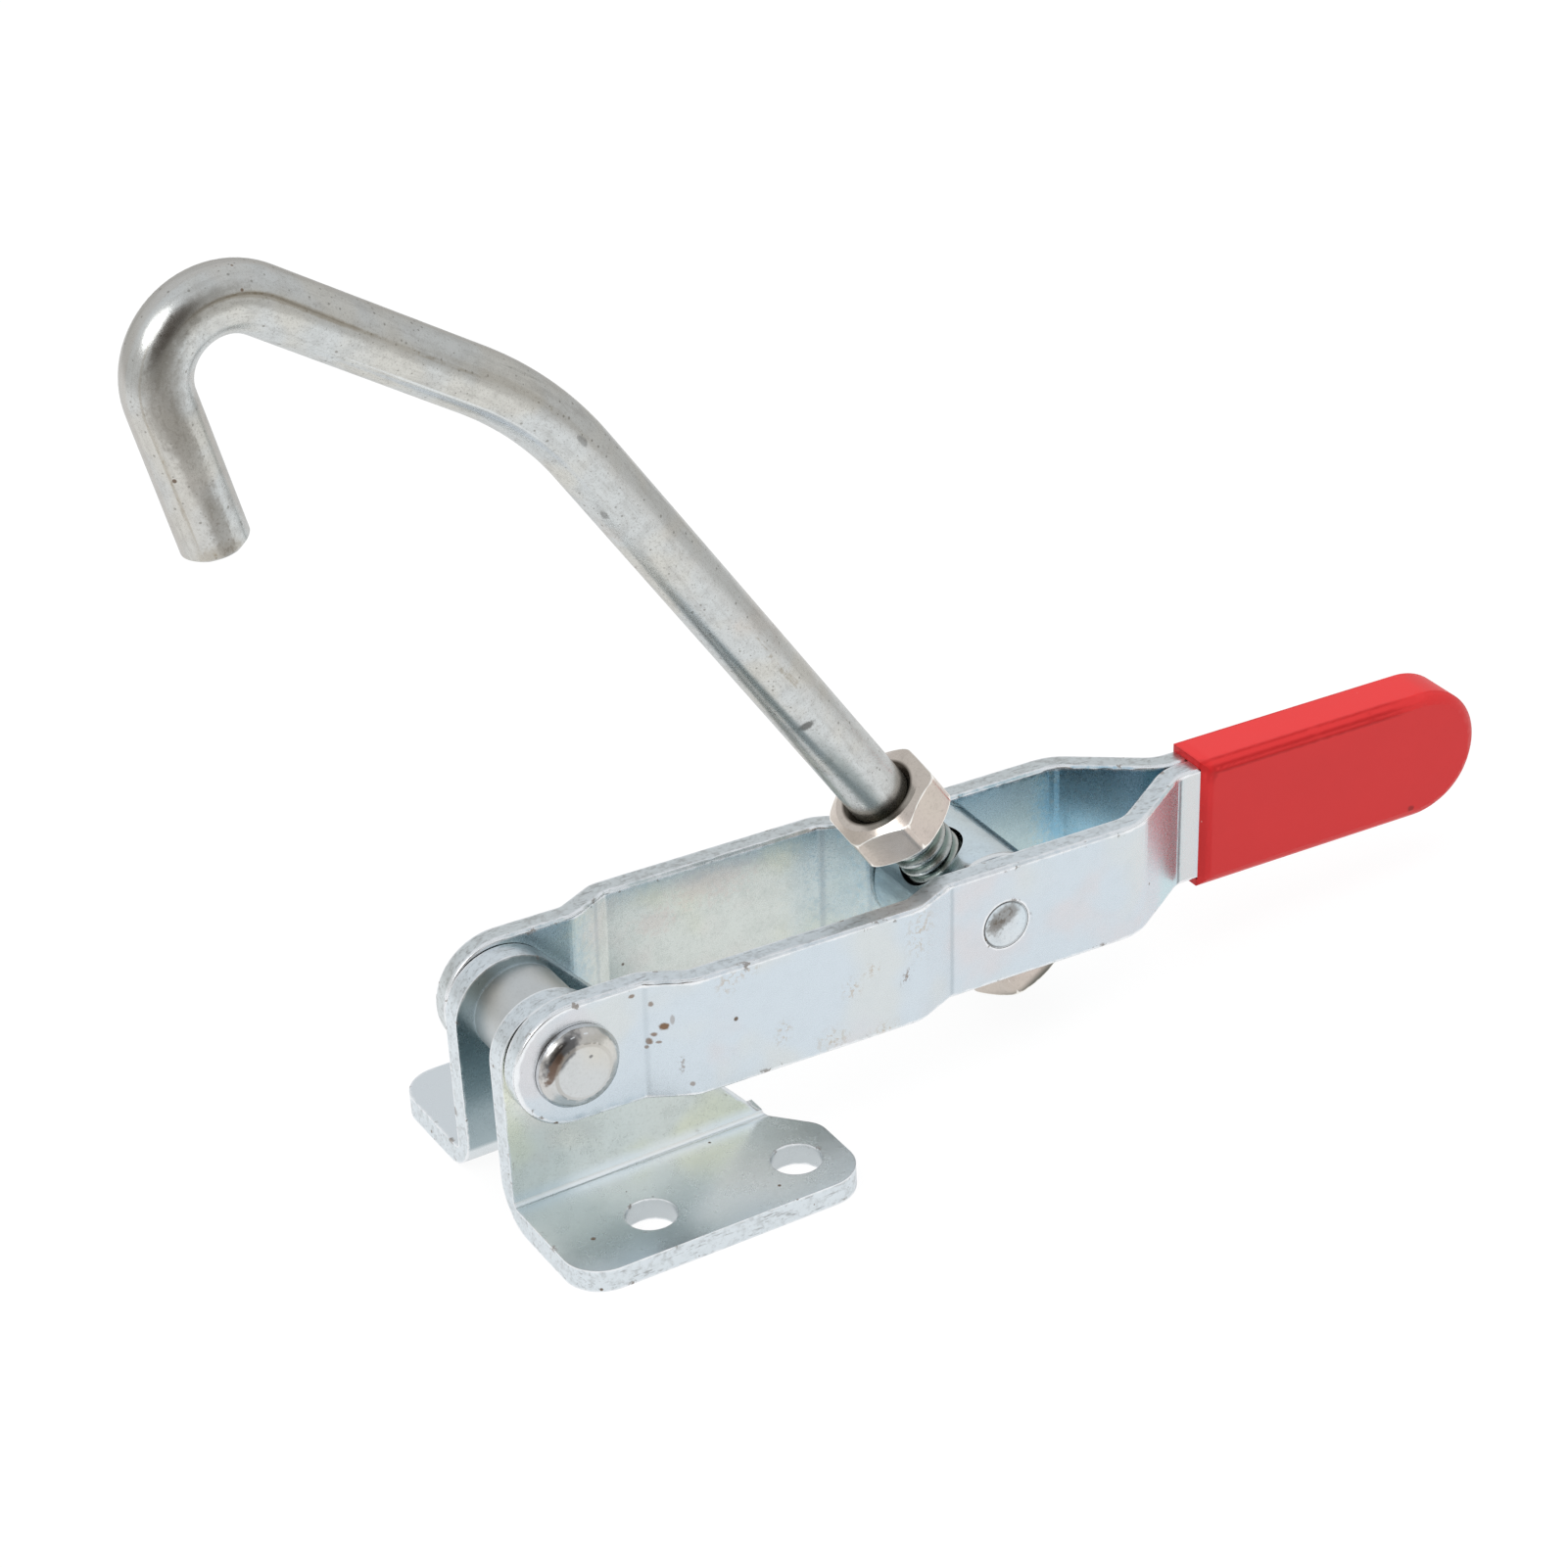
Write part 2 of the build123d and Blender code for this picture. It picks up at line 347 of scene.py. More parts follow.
def set_normals(mesh, weights):
    """Corner normals as the mean of the faces round a point, each with its weight."""
    corners = read_all(mesh.loops, "vertex_index")
    sides = read_all(mesh.polygons, "loop_total")
    facing = read_all(mesh.polygons, "normal", float, 3)
    face_of = np.repeat(np.arange(len(sides)), sides)
    own = facing.reshape(-1, 3)[face_of]
    weight = weights[face_of][:, None]
    order = np.argsort(corners, kind="stable")
    count = np.bincount(corners, minlength=len(mesh.vertices))
    start = np.cumsum(count) - count
    total = np.zeros_like(own)
    for step in range(count.max()):
        partner = order[np.minimum(start[corners] + step, len(order) - 1)]
        close = (own * own[partner]).sum(1) > cos(BLEND_ANGLE)
        use = (close & (step < count[corners]))[:, None]
        total += np.where(use, own[partner] * weight[partner], 0)
    total /= np.linalg.norm(total, axis=1)[:, None]
    mesh.shade_smooth()
    mesh.normals_split_custom_set(total.tolist())


print("an edge is sharp from", round(degrees(EDGE_ANGLE)), "degrees")

# %% Weld, subdivide and dress
WELD_GAP = 0.002 * MM
MOST_ROUNDS = 8


def cancel_doubled_faces(bm):
    """Takes out pairs of faces that lie on each other, which very thin triangles leave behind."""
    same_corners = {}
    for face in bm.faces:
        same_corners.setdefault(frozenset(face.verts), []).append(face)
    groups = [faces for faces in same_corners.values() if len(faces) > 1]
    doubled = [face for faces in groups for face in faces[len(faces) % 2:]]
    bmesh.ops.delete(bm, geom=doubled, context="FACES_ONLY")
    bmesh.ops.delete(bm, geom=[e for e in bm.edges if not e.link_faces], context="EDGES")
    bmesh.ops.delete(bm, geom=[v for v in bm.verts if not v.link_edges], context="VERTS")


def refined(name, bm, cell=CELL, sheared=None, least=EDGE_ANGLE):
    """A new object from a welded bmesh, with small faces, its attributes and clean normals."""
    weight_layer = bm.faces.layers.float.new("weight")
    for face in bm.faces:
        face[weight_layer] = face.calc_area() / MM**2
    coarse = bm.copy()
    for _ in range(MOST_ROUNDS):
        long_edges = [e for e in bm.edges if e.calc_length() > cell]
        if not long_edges:
            break
        bmesh.ops.subdivide_edges(bm, edges=long_edges, cuts=1)
        bmesh.ops.triangulate(bm, faces=[f for f in bm.faces if len(f.verts) > 3])
    cancel_doubled_faces(bm)
    weights = np.array([f[weight_layer] for f in bm.faces])
    rim = edge_distance(coarse, [v.co for v in bm.verts], least)
    coarse.free()
    bm.faces.layers.float.remove(bm.faces.layers.float["weight"])
    mesh = bpy.data.meshes.new(name)
    bm.to_mesh(mesh)
    bm.free()
    mesh.attributes.new("rim", "FLOAT", "POINT").data.foreach_set("value", rim)
    if sheared:
        cut = [float(sheared(face.center / MM, face.normal)) for face in mesh.polygons]
        mesh.attributes.new("sheared", "FLOAT", "FACE").data.foreach_set("value", cut)
    set_normals(mesh, weights)
    return placed(name, mesh)


def dressed(node, material, slot, **how):
    """A welded and refined copy of a CAD node, which it stands for."""
    bm = bmesh.new()
    bm.from_mesh(frame["nodes"][node].data)
    bmesh.ops.remove_doubles(bm, verts=bm.verts, dist=WELD_GAP)
    piece = refined(node + "_skin", bm, **how)
    piece.data.materials.append(material)
    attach(piece, frame["nodes"][node]["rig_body"])
    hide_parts(node)
    print(piece.name, "faces:", len(piece.data.polygons))


# %% [markdown]
# ## Plating
# Zinc plate is a thin film. It reads as pale blue where it is fresh and as straw or
# pink where it has aged, with fine grain over it all. One group makes that colour, its
# grain and its roughness, and each metal piece uses it with its own values.


# %% Group: plating
def make_group(name, results, **values):
    """A shader group. A plain number makes a number input, three a colour, and None a place."""
    group = bpy.data.node_groups.new(name, "ShaderNodeTree")
    for label, value in values.items():
        kind = "Vector" if value is None else "Float" if isinstance(value, float) else "Color"
        socket = group.interface.new_socket(
            label.replace("_", " "), in_out="INPUT", socket_type="NodeSocket" + kind)
        if value is not None:
            socket.default_value = (*value, 1) if kind == "Color" else value
    for label in results:
        kind = "NodeSocketColor" if label == "Color" else "NodeSocketFloat"
        group.interface.new_socket(label, in_out="OUTPUT", socket_type=kind)
    inside = group.nodes.new("NodeGroupInput").outputs
    return group, inside, group.nodes.new("NodeGroupOutput").inputs


def noise(vector, size, detail=3.0, roughness=0.55):
    """Noise with features of about that many mm."""
    scale = over(1 / MM, size) if isinstance(size, bpy.types.NodeSocket) else 1 / MM / size
    return add_node(tree_of(vector), "ShaderNodeTexNoise", Vector=vector, Scale=scale, Detail=detail,
                    Roughness=roughness).outputs["Fac"]


ELSEWHERE = (0.31, 0.17, 0.23)
plating, inside, out = make_group(
    "plating", ("Color", "Roughness", "Height"), Vector=None, Fresh=(0.6, 0.66, 0.7),
    Straw=(0.66, 0.67, 0.6), Pink=(0.68, 0.62, 0.62), Dull=(0.3, 0.33, 0.34),
    Bloom_Size=14.0, Grain_Size=0.35, Grain=0.3, Dullness=0.2, Roughness=0.3,
)
bloom = noise(inside["Vector"], inside["Bloom Size"], 2.0)
shifted = vector_node("ADD", inside["Vector"], ELSEWHERE)
other_bloom = noise(shifted, inside["Bloom Size"], 3.0)
grain = noise(inside["Vector"], inside["Grain Size"], 4.0, 0.65)
blotch = noise(shifted, times(inside["Grain Size"], 7.0), 4.0, 0.6)
tone = mix_colour(smooth_step(bloom, 0.45, 0.62), inside["Fresh"], inside["Straw"])
tone = mix_colour(smooth_step(other_bloom, 0.56, 0.72, 0.0, 0.8), tone, inside["Pink"])
worn = times(smooth_step(blotch, 0.42, 0.72), inside["Dullness"])
tone = mix_colour(worn, tone, inside["Dull"])
speck = times(smooth_step(grain, 0.5, 0.72), inside["Grain"])
tone = mix_colour(speck, tone, inside["Dull"])
rough = times_plus(grain, 0.16, inside["Roughness"])
rough = times_plus(worn, 0.25, rough)
plug(out["Color"], tone)
plug(out["Roughness"], minus(rough, 0.08))
plug(out["Height"], times_plus(blotch, 0.5, grain))
tell(plating, "plating")

# %% [markdown]
# ## Worn edges, specks and stains
# Sheared edges lose their plating first. The rim attribute gives a line along each
# edge, noise breaks it up, and inside it the metal is brighter, with a few brown chips.
# That bright line is partly wear and partly a painted highlight. Rust specks are small
# cells of a Voronoi pattern, of which only a few are kept. A stain is an ellipse with a
# ragged outline, laid at a chosen place on a strap or along the bar. The same outline
# also lays patches of painted shade and painted reflection.


# %% Group: worn rim, with a painted highlight
CHIPS_ELSEWHERE = (0.07, 0.41, 0.19)
worn_rim_and_highlight, inside, out = make_group(
    "worn_rim_and_highlight", ("Bright", "Chips"), Vector=None, Rim=RIM_REACH, Width=0.35, Break_Size=1.2)
ragged = noise(inside["Vector"], inside["Break Size"], 3.0, 0.6)
offset = times_plus(ragged, 1.6, -0.8)
reach = times_plus(offset, inside["Width"], inside["Rim"])
# The bright line is partly worn plating and partly a painted highlight along the edge.
bright = falling(reach, 0.0, inside["Width"])
chips = vector_node("ADD", inside["Vector"], CHIPS_ELSEWHERE)
chips = noise(chips, times(inside["Break Size"], 1.7), 3.0, 0.65)
chips = smooth_step(chips, 0.62, 0.68)
near_edge = falling(inside["Rim"], 0.15, 0.7)
plug(out["Bright"], bright)
plug(out["Chips"], times(chips, near_edge))
tell(worn_rim_and_highlight, "worn_rim_and_highlight")

# %% Group: specks
specks, inside, out = make_group(
    "specks", ("Mask",), Vector=None, Spacing=3.0, Radius=0.1, Share=0.2)
cells = specks.nodes.new("ShaderNodeTexVoronoi")
plug(cells.inputs["Vector"], inside["Vector"])
plug(cells.inputs["Scale"], over(1 / MM, inside["Spacing"]))
lot = parts_of(cells.outputs["Color"])
kept = math_node("LESS_THAN", lot["X"], inside["Share"])
radius = times(inside["Radius"], lot["Y"])
spot = falling(cells.outputs["Distance"], times(radius, 0.6), radius)
plug(out["Mask"], times(spot, kept))
tell(specks, "specks")

# %% Group: stain, which also lays painted shade and painted reflection
stain_and_painted_light, inside, out = make_group(
    "stain_and_painted_light", ("Mask",), Along=0.0, Up=0.0, Middle_Along=0.0, Middle_Up=0.0, Half_Length=1.0,
    Half_Height=1.0, Slant=0.0, Noise=0.5, Ragged=1.0, Softness=0.3, Flecks=0.0,
)
along = minus(inside["Along"], inside["Middle Along"])
up = minus(inside["Up"], inside["Middle Up"])
up = minus(up, times(along, inside["Slant"]))
along = over(along, inside["Half Length"])
up = over(up, inside["Half Height"])
reach = math_node("SQRT", times_plus(along, along, times(up, up)))
wobble = times_plus(inside["Noise"], 2.0, -1.0)
reach = times_plus(wobble, inside["Ragged"], reach)
low = minus(1.0, inside["Softness"])
high = plus(1.0, inside["Softness"])
spread = falling(reach, low, high)
gaps = times(falling(inside["Noise"], 0.50, 0.60), inside["Flecks"])
plug(out["Mask"], times(spread, minus(1.0, gaps)))
tell(stain_and_painted_light, "stain_and_painted_light")


# %% Small tools for materials
def use_group(group, **values):
    node = tree_of(*values.values()).nodes.new("ShaderNodeGroup")
    node.node_tree = group
    for name, value in values.items():
        plug(node.inputs[name.replace("_", " ")], value)
    return node.outputs


def new_material(name):
    material = bpy.data.materials.new(name)
    material.use_nodes = True
    tree = material.node_tree
    shader = next(n for n in tree.nodes if n.type == "BSDF_PRINCIPLED")
    place = tree.nodes.new("ShaderNodeTexCoord").outputs["Object"]
    return material, tree, shader, place


def bump(shader, height, depth):
    """Feeds a height, whose full range is depth mm, to the shader's normal."""
    node = add_node(tree_of(height), "ShaderNodeBump", Strength=1.0, Distance=depth * MM, Height=height)
    plug(shader.inputs["Normal"], node.outputs[0])


def read_attribute(tree, name):
    node = tree.nodes.new("ShaderNodeAttribute")
    node.attribute_name = name
    return node.outputs


def mark(middle, half_size, colour, amount, slant=0.0, ragged=1.2, soft=0.35, flecks=0.0):
    """One mark, used for stains and for patches of painted shade and painted reflection: the sizes of
    its outline, its colour, and how much of what is below it hides.
    """
    outline = dict(
        Middle_Along=middle[0], Middle_Up=middle[1], Half_Length=half_size[0], Half_Height=half_size[1],
        Slant=slant, Ragged=ragged, Softness=soft, Flecks=flecks,
    )
    return outline, colour, amount


def with_stains_and_painted_light(below, along, up, marks, rough):
    """Lays each mark over the colour below; rough is a noise that breaks up their outlines."""
    for outline, colour, amount in marks:
        mask = use_group(stain_and_painted_light, Along=along, Up=up, Noise=rough, **outline)["Mask"]
        below = mix_colour(times(mask, amount), below, colour)
    return below


def handle_place(place):
    """Distance along the handle from the pivot, and up from its middle line, both in mm."""
    from_pivot = vector_node("SUBTRACT", place, pivot)
    return dot(from_pivot, handle_dir / MM), dot(from_pivot, handle_up / MM)


# %% A metal from the groups
# The edge colour is partly worn plating and partly a painted highlight.
EDGE_WEAR_AND_HIGHLIGHT, BROWN, DRAG = (0.86, 0.88, 0.9), (0.16, 0.12, 0.09), (0.30, 0.31, 0.31)
DRAG_SHRINK = (0.2, 1.0, 1.0)


def plated_metal(name, colours, rim_width=0.35, depth=0.006, rust=0.12, rim_colour=EDGE_WEAR_AND_HIGHLIGHT,
                 chips=0.75, paint=None, cut=None, edge_tint=1.0, **values):
    """Plated steel: plating colour, a bright broken rim that is partly wear and partly a painted
    highlight, brown chips and rust specks.
    """
    material, tree, shader, place = new_material(name)
    plug(shader.inputs["Specular Tint"], (edge_tint,) * 3)
    fresh, straw, pink, dull = colours
    skin = use_group(plating, Vector=place, Fresh=fresh, Straw=straw, Pink=pink, Dull=dull, **values)
    edge = use_group(worn_rim_and_highlight, Vector=place, Rim=read_attribute(tree, "rim")["Fac"], Width=rim_width)
    spots = use_group(specks, Vector=place, Spacing=2.6, Radius=0.16, Share=rust)
    colour = skin["Color"]
    if paint:
        colour = paint(tree, place, colour)
    roughness = skin["Roughness"]
    if cut:
        sheared = read_attribute(tree, "sheared")["Fac"]
        torn = noise(place, 0.9, 5.0, 0.7)
        face = mix_colour(smooth_step(torn, 0.46, 0.66), cut[0], cut[1])
        drag = noise(vector_node("MULTIPLY", place, DRAG_SHRINK), 0.45, 4.0, 0.7)
        drag = times(smooth_step(drag, 0.56, 0.66), 0.65)
        face = mix_colour(drag, face, DRAG)
        colour = mix_colour(sheared, colour, face)
        roughness = times_plus(sheared, 0.08, roughness)
    # A worn edge, with a painted highlight along it.
    colour = mix_colour(edge["Bright"], colour, rim_colour)
    brown = larger(times(edge["Chips"], chips), spots["Mask"])
    colour = mix_colour(brown, colour, BROWN)
    plug(shader.inputs["Base Color"], colour)
    plug(shader.inputs["Roughness"], roughness)
    plug(shader.inputs["Metallic"], times_plus(brown, -0.6, 1.0))
    bump(shader, skin["Height"], depth)
    tell(tree, name)
    return material


# %% [markdown]
# ## Straps
# The two straps are the same strip, plated together, but they have aged apart: the
# outer face of one is fresh and blue with a little rust, and the inner face of the other
# has gone straw. Each bend gets a fine line of painted shade, and a ring of painted shadow
# lies round the rivet's head. Marks are placed by their distance along the handle, since
# that is how a maker would measure them.

# %% Marks of the straps
RUST, TAN, ROSE = (0.20, 0.115, 0.06), (0.50, 0.42, 0.33), (0.62, 0.50, 0.47)
SHADE, TEAL = (0.34, 0.40, 0.44), (0.23, 0.43, 0.56)
ALL_HEIGHT = 30.0


def rust(along, up, size, amount, flecks=0.0, slant=0.0):
    return mark((along, up), size, RUST, amount, slant=slant, ragged=0.6, flecks=flecks)


def tan_stain(along, up, size, slant=0.0):
    return mark((along, up), size, TAN, 0.6, slant=slant, ragged=1.0, soft=0.6, flecks=1.0)


# A thin line of painted shade across the strap at a bend.
def painted_bend_shade(along, half_width, amount, colour=SHADE):
    return mark((along, 0.0), (half_width, ALL_HEIGHT), colour, amount, ragged=0.6, soft=0.8)


near_marks = [
    rust(11.2, 2.0, (0.55, 0.5), 0.95), rust(10.1, 1.0, (0.4, 0.3), 0.8),
    rust(9.6, 0.1, (0.35, 0.45), 0.85), rust(9.3, -0.7, (0.25, 0.25), 0.8),
    rust(10.6, -0.1, (0.3, 0.2), 0.7), rust(12.1, 2.9, (0.25, 0.6), 0.6, flecks=0.3),
    rust(9.9, 5.2, (0.3, 0.35), 0.7), rust(7.6, 6.8, (0.4, 0.25), 0.75),
    rust(13.0, -3.4, (0.5, 1.2), 0.5, flecks=1.0), rust(14.0, -6.2, (0.3, 0.3), 0.6),
    tan_stain(18.9, 6.4, (1.6, 1.8)), tan_stain(21.6, 7.2, (1.8, 1.0)),
    tan_stain(26.4, -3.1, (1.3, 1.8), slant=0.3), tan_stain(33.2, -6.4, (2.4, 1.8)),
    tan_stain(36.0, -0.1, (1.4, 1.8)), tan_stain(38.8, 1.7, (1.4, 1.0)),
    tan_stain(40.8, -7.6, (2.4, 1.4)), rust(43.8, -0.8, (1.0, 1.0), 0.7, flecks=1.0, slant=0.8),
    tan_stain(46.0, 4.6, (2.4, 3.6)),
    rust(1.4, 8.4, (2.2, 0.5), 0.5, flecks=0.6, slant=0.1),
    mark((92.4, 0.0), (1.4, ALL_HEIGHT), (0.66, 0.66, 0.65), 0.7, ragged=0.2, soft=0.4),
    mark((88.3, 0.0), (2.6, ALL_HEIGHT), (0.50, 0.80, 0.84), 0.5, ragged=0.4, soft=0.6),
    # Painted shade at the bends.
    painted_bend_shade(9.3, 0.3, 0.22), painted_bend_shade(51.9, 0.28, 0.45),
    painted_bend_shade(90.9, 0.25, 0.75, (0.16, 0.17, 0.18)),
]
far_marks = [
    mark((30.0, 5.5), (5.0, 2.6), ROSE, 0.35, ragged=2.0, soft=0.6),
    mark((22.0, 1.8), (2.4, 1.5), ROSE, 0.3, ragged=2.0, soft=0.6),
    mark((44.0, 9.0), (34.0, 2.6), TEAL, 0.35, ragged=0.8, soft=0.7),
    mark((46.0, 1.0), (4.5, 14.0), TEAL, 0.4, ragged=1.0, soft=0.6, flecks=0.5),
    mark((66.0, 2.0), (16.5, 14.0), (0.24, 0.46, 0.58), 0.5, ragged=0.5),
    mark((86.0, 2.0), (9.0, 14.0), (0.16, 0.48, 0.72), 0.6, ragged=0.4, soft=0.3),
    mark((3.0, 0.0), (8.5, 14.0), TEAL, 0.45, ragged=0.6),
    # Painted shade at the bends.
    painted_bend_shade(13.5, 0.3, 0.35), painted_bend_shade(45.8, 0.35, 0.45), painted_bend_shade(51.4, 0.35, 0.35),
]
print("marks:", len(near_marks), "on the near strap and", len(far_marks), "on the far one")


# %% Dress the straps
def shade_ring(along, up, middle, radius, width):
    """A thin ring of painted shade in the plane of the strap, strongest towards its upper hook side."""
    across = minus(along, middle)
    reach = times_plus(across, across, times(up, up))
    off = absolute(minus(math_node("SQRT", reach), radius))
    lean = minus(times(up, 0.6), across)
    strong = smooth_step(lean, -radius, radius * 0.8, 0.35, 1.0)
    return times(falling(off, width * 0.4, width), strong)


def strap_paint(marks):
    def paint(tree, place, colour):
        along, up = handle_place(place)
        colour = with_stains_and_painted_light(colour, along, up, marks, noise(place, 0.7, 4.0, 0.65))
        # Painted shadow: a dark ring round the rivet's head.
        ring = shade_ring(along, up, -0.1, 5.0, 0.5)
        return mix_colour(times(ring, 0.9), colour, (0.12, 0.13, 0.14))
    return paint


def strap_cut(centre, normal):
    """The sheared rim of a strap: its faces look along or across the handle, not outwards."""
    return abs(normal.y) < 0.5


fresh_blue = ((0.63, 0.70, 0.755), (0.66, 0.70, 0.71), (0.68, 0.67, 0.69), (0.40, 0.44, 0.46))
aged_straw = ((0.655, 0.695, 0.665), (0.69, 0.715, 0.62), (0.68, 0.665, 0.64), (0.42, 0.46, 0.43))
strap_rims = ((0.70, 0.755, 0.79), (0.56, 0.60, 0.62))
far_rims = ((0.64, 0.68, 0.69), (0.48, 0.50, 0.50))
near_plate = plated_metal(
    "near_strap_plate", fresh_blue, paint=strap_paint(near_marks), cut=strap_rims,
    Roughness=0.26, Grain=0.05, Dullness=0.06, depth=0.0015)
far_plate = plated_metal(
    "far_strap_plate", aged_straw, paint=strap_paint(far_marks), cut=far_rims, rust=0.2,
    Roughness=0.26, Grain=0.28, Dullness=0.16, depth=0.005)
dressed("handle_strap_near", near_plate, "zinc_sheet", sheared=strap_cut)
dressed("handle_strap_far", far_plate, "zinc_sheet", sheared=strap_cut)

# %% [markdown]
# ## Brackets
# Each bracket is an ear folded up from a flange. The ears have gone straw like the
# inside of the straps, and the flanges are paler and less straw-coloured. Painted
# reflections lie across the flange tops, and painted shade darkens the faces between the
# ears, the walls of the screw holes and the far bracket.


# %% Dress the brackets
HOLE_PLACES = ((10.0, 17.8), (-10.0, 17.8))
HOLE_R, ROUND_HOLE_R = 3.2, 3.6
EAR_TOP_FROM, FLANGE_FROM = 20, 12


def bracket_cut(centre, normal):
    """The sheared rim of a bracket: ends of both legs, top of the ear, edge of the flange."""
    if min(hypot(centre.x - x, abs(centre.y) - y) for x, y in HOLE_PLACES) < ROUND_HOLE_R:
        return False
    on_ear_top = centre.z > EAR_TOP_FROM and abs(normal.y) < 0.5
    on_flange_edge = abs(centre.y) > FLANGE_FROM and abs(normal.z) < 0.3
    return abs(normal.x) > 0.45 or on_ear_top or on_flange_edge


def bracket_paint(tree, place, colour):
    along, out_by, height = parts_of(scaled(place, 1 / MM))
    ragged = noise(place, 2.0, 4.0, 0.6)
    # Painted reflections on the flange top: a pale band across it and a darker grey-blue part beside
    # it.
    marks = [
        mark((4.0, -16.0), (4.5, ALL_HEIGHT), (0.98, 0.99, 0.97), 0.5, ragged=0.5, soft=0.6),
        mark((-17.0, -16.0), (6.0, ALL_HEIGHT), (0.50, 0.60, 0.63), 0.45, ragged=0.5, soft=0.7),
    ]
    slanted = times_plus(out_by, 0.55, plus(along, 8.8))
    flange = with_stains_and_painted_light((0.92, 0.965, 0.98), slanted, out_by, marks, ragged)
    colour = mix_colour(falling(height, 3.6, 5.5), colour, flange)
    # Painted shade on the faces between the two ears.
    inner_shade = falling(absolute(out_by), 4.5, 4.8)
    colour = mix_colour(times(inner_shade, 0.8), colour, (0.25, 0.36, 0.40))
    for x, y in HOLE_PLACES:
        across = minus(along, x)
        deep = minus(absolute(out_by), y)
        reach = times_plus(across, across, times(deep, deep))
        # Painted shade on the walls of the screw holes.
        hole_wall_shade = falling(reach, HOLE_R**2 + 0.2, HOLE_R**2 + 0.9)
        colour = mix_colour(times(hole_wall_shade, 0.75), colour, (0.42, 0.46, 0.48))
    # Painted shade: the far bracket is made darker.
    far_bracket_shade = smooth_step(out_by, 0.0, 7.0, 0.0, 0.42)
    return mix_colour(far_bracket_shade, colour, (0.42, 0.46, 0.50))


ear_tones = ((0.79, 0.825, 0.79), (0.82, 0.84, 0.70), (0.80, 0.78, 0.73), (0.42, 0.46, 0.42))
bracket_plate = plated_metal(
    "bracket_plate", ear_tones, paint=bracket_paint, cut=strap_rims, rust=0.2,
    Roughness=0.24, Grain=0.42, Dullness=0.16, depth=0.012)
dressed("base_bracket_near", bracket_plate, "zinc_sheet", sheared=bracket_cut)
dressed("base_bracket_far", bracket_plate, "zinc_sheet", sheared=bracket_cut)

# %% [markdown]
# ## Rivet, spacer and cross bar
# These were turned from bar. The rivet's head is pressed and keeps a bright flat, with
# brown left on its shoulder, a painted dark reflection across the shoulder, and a thin ring
# of painted shade round the flat. The end of the cross bar is a journal that was pressed
# over, so plating has flaked from it, and a ring of painted shade lies in the gap around it.


# %% Paint of the rivet and of the cross bar
BAR_ALONG = (bar - pivot).length / MM
NEAR_END = (-9.2 * MM, -8.8 * MM)


def rivet_paint(tree, place, colour):
    along, up = handle_place(place)
    # Brown wear on the shoulder. The large slate patch is a painted dark reflection, and a small slate
    # spot sits by the flat.
    brown, slate_and_dark_reflection = (0.15, 0.10, 0.075), (0.10, 0.10, 0.105)
    marks = [
        mark((-2.6, 3.0), (2.5, 1.3), slate_and_dark_reflection, 0.9, slant=0.8, ragged=0.5),
        mark((-3.8, 1.4), (1.0, 1.1), brown, 0.9, slant=1.6, ragged=0.9),
        mark((-3.0, 2.6), (0.5, 0.5), brown, 0.7, slant=0.9, ragged=1.0),
        mark((0.9, 1.9), (0.25, 0.2), slate_and_dark_reflection, 0.7, ragged=1.0),
    ]
    colour = with_stains_and_painted_light(colour, along, up, marks, noise(place, 0.8, 4.0, 0.6))
    # Painted shade: a thin ring where the flat meets the shoulder.
    ring = times(shade_ring(along, up, 0.0, 3.6, 0.35), 0.45)
    return mix_colour(ring, colour, (0.36, 0.33, 0.29))


def journal_paint(tree, place, colour):
    along, up = handle_place(place)
    brown, gap_shade_colour = (0.15, 0.13, 0.11), (0.10, 0.10, 0.10)
    marks = [
        mark((BAR_ALONG - 0.3, 1.2), (2.2, 1.4), brown, 0.95, slant=0.3, ragged=0.8, flecks=0.3),
        mark((BAR_ALONG - 1.6, 0.1), (1.1, 1.2), brown, 0.9, ragged=1.4, flecks=0.5),
    ]
    colour = with_stains_and_painted_light(colour, along, up, marks, noise(place, 0.7, 4.0, 0.6))
    # Painted shade: a dark ring in the gap round the journal, on its near end only.
    ring = shade_ring(along, up, BAR_ALONG, 3.25, 0.38)
    ring = times(ring, falling(parts_of(place)["Y"], *NEAR_END))
    return mix_colour(ring, colour, gap_shade_colour)


print("the cross bar is", round(BAR_ALONG, 1), "mm from the pivot")

# %% Dress the turned pieces
TURNED_CELL = 0.9 * MM
turned = ((0.61, 0.63, 0.635), (0.63, 0.62, 0.58), (0.60, 0.57, 0.545), (0.34, 0.34, 0.33))
bar_tones = ((0.66, 0.76, 0.82), (0.67, 0.76, 0.79), (0.68, 0.71, 0.73), (0.38, 0.42, 0.45))
# A near-white rim colour: a painted highlight along the worn turned edges.
turned_edge_highlight = (0.80, 0.82, 0.83)
rivet_metal = plated_metal(
    "rivet_metal", turned, paint=rivet_paint, rim_width=0.15, rim_colour=turned_edge_highlight, chips=0.0,
    rust=0.02, Roughness=0.20, Grain=0.2, Dullness=0.12, depth=0.003)
spacer_metal = plated_metal(
    "spacer_metal", turned, chips=0.0, Roughness=0.42, Grain=0.15, Dullness=0.1)
bar_metal = plated_metal(
    "bar_metal", bar_tones, paint=journal_paint, rim_width=0.07, rim_colour=turned_edge_highlight,
    chips=0.0, rust=0.3, Roughness=0.20, Grain=0.3, Dullness=0.2, depth=0.004)
dressed("pivot_rivet", rivet_metal, "zinc_turned", cell=TURNED_CELL)
dressed("pivot_spacer", spacer_metal, "zinc_turned", cell=TURNED_CELL)
dressed("trunnion", bar_metal, "zinc_turned", cell=TURNED_CELL)

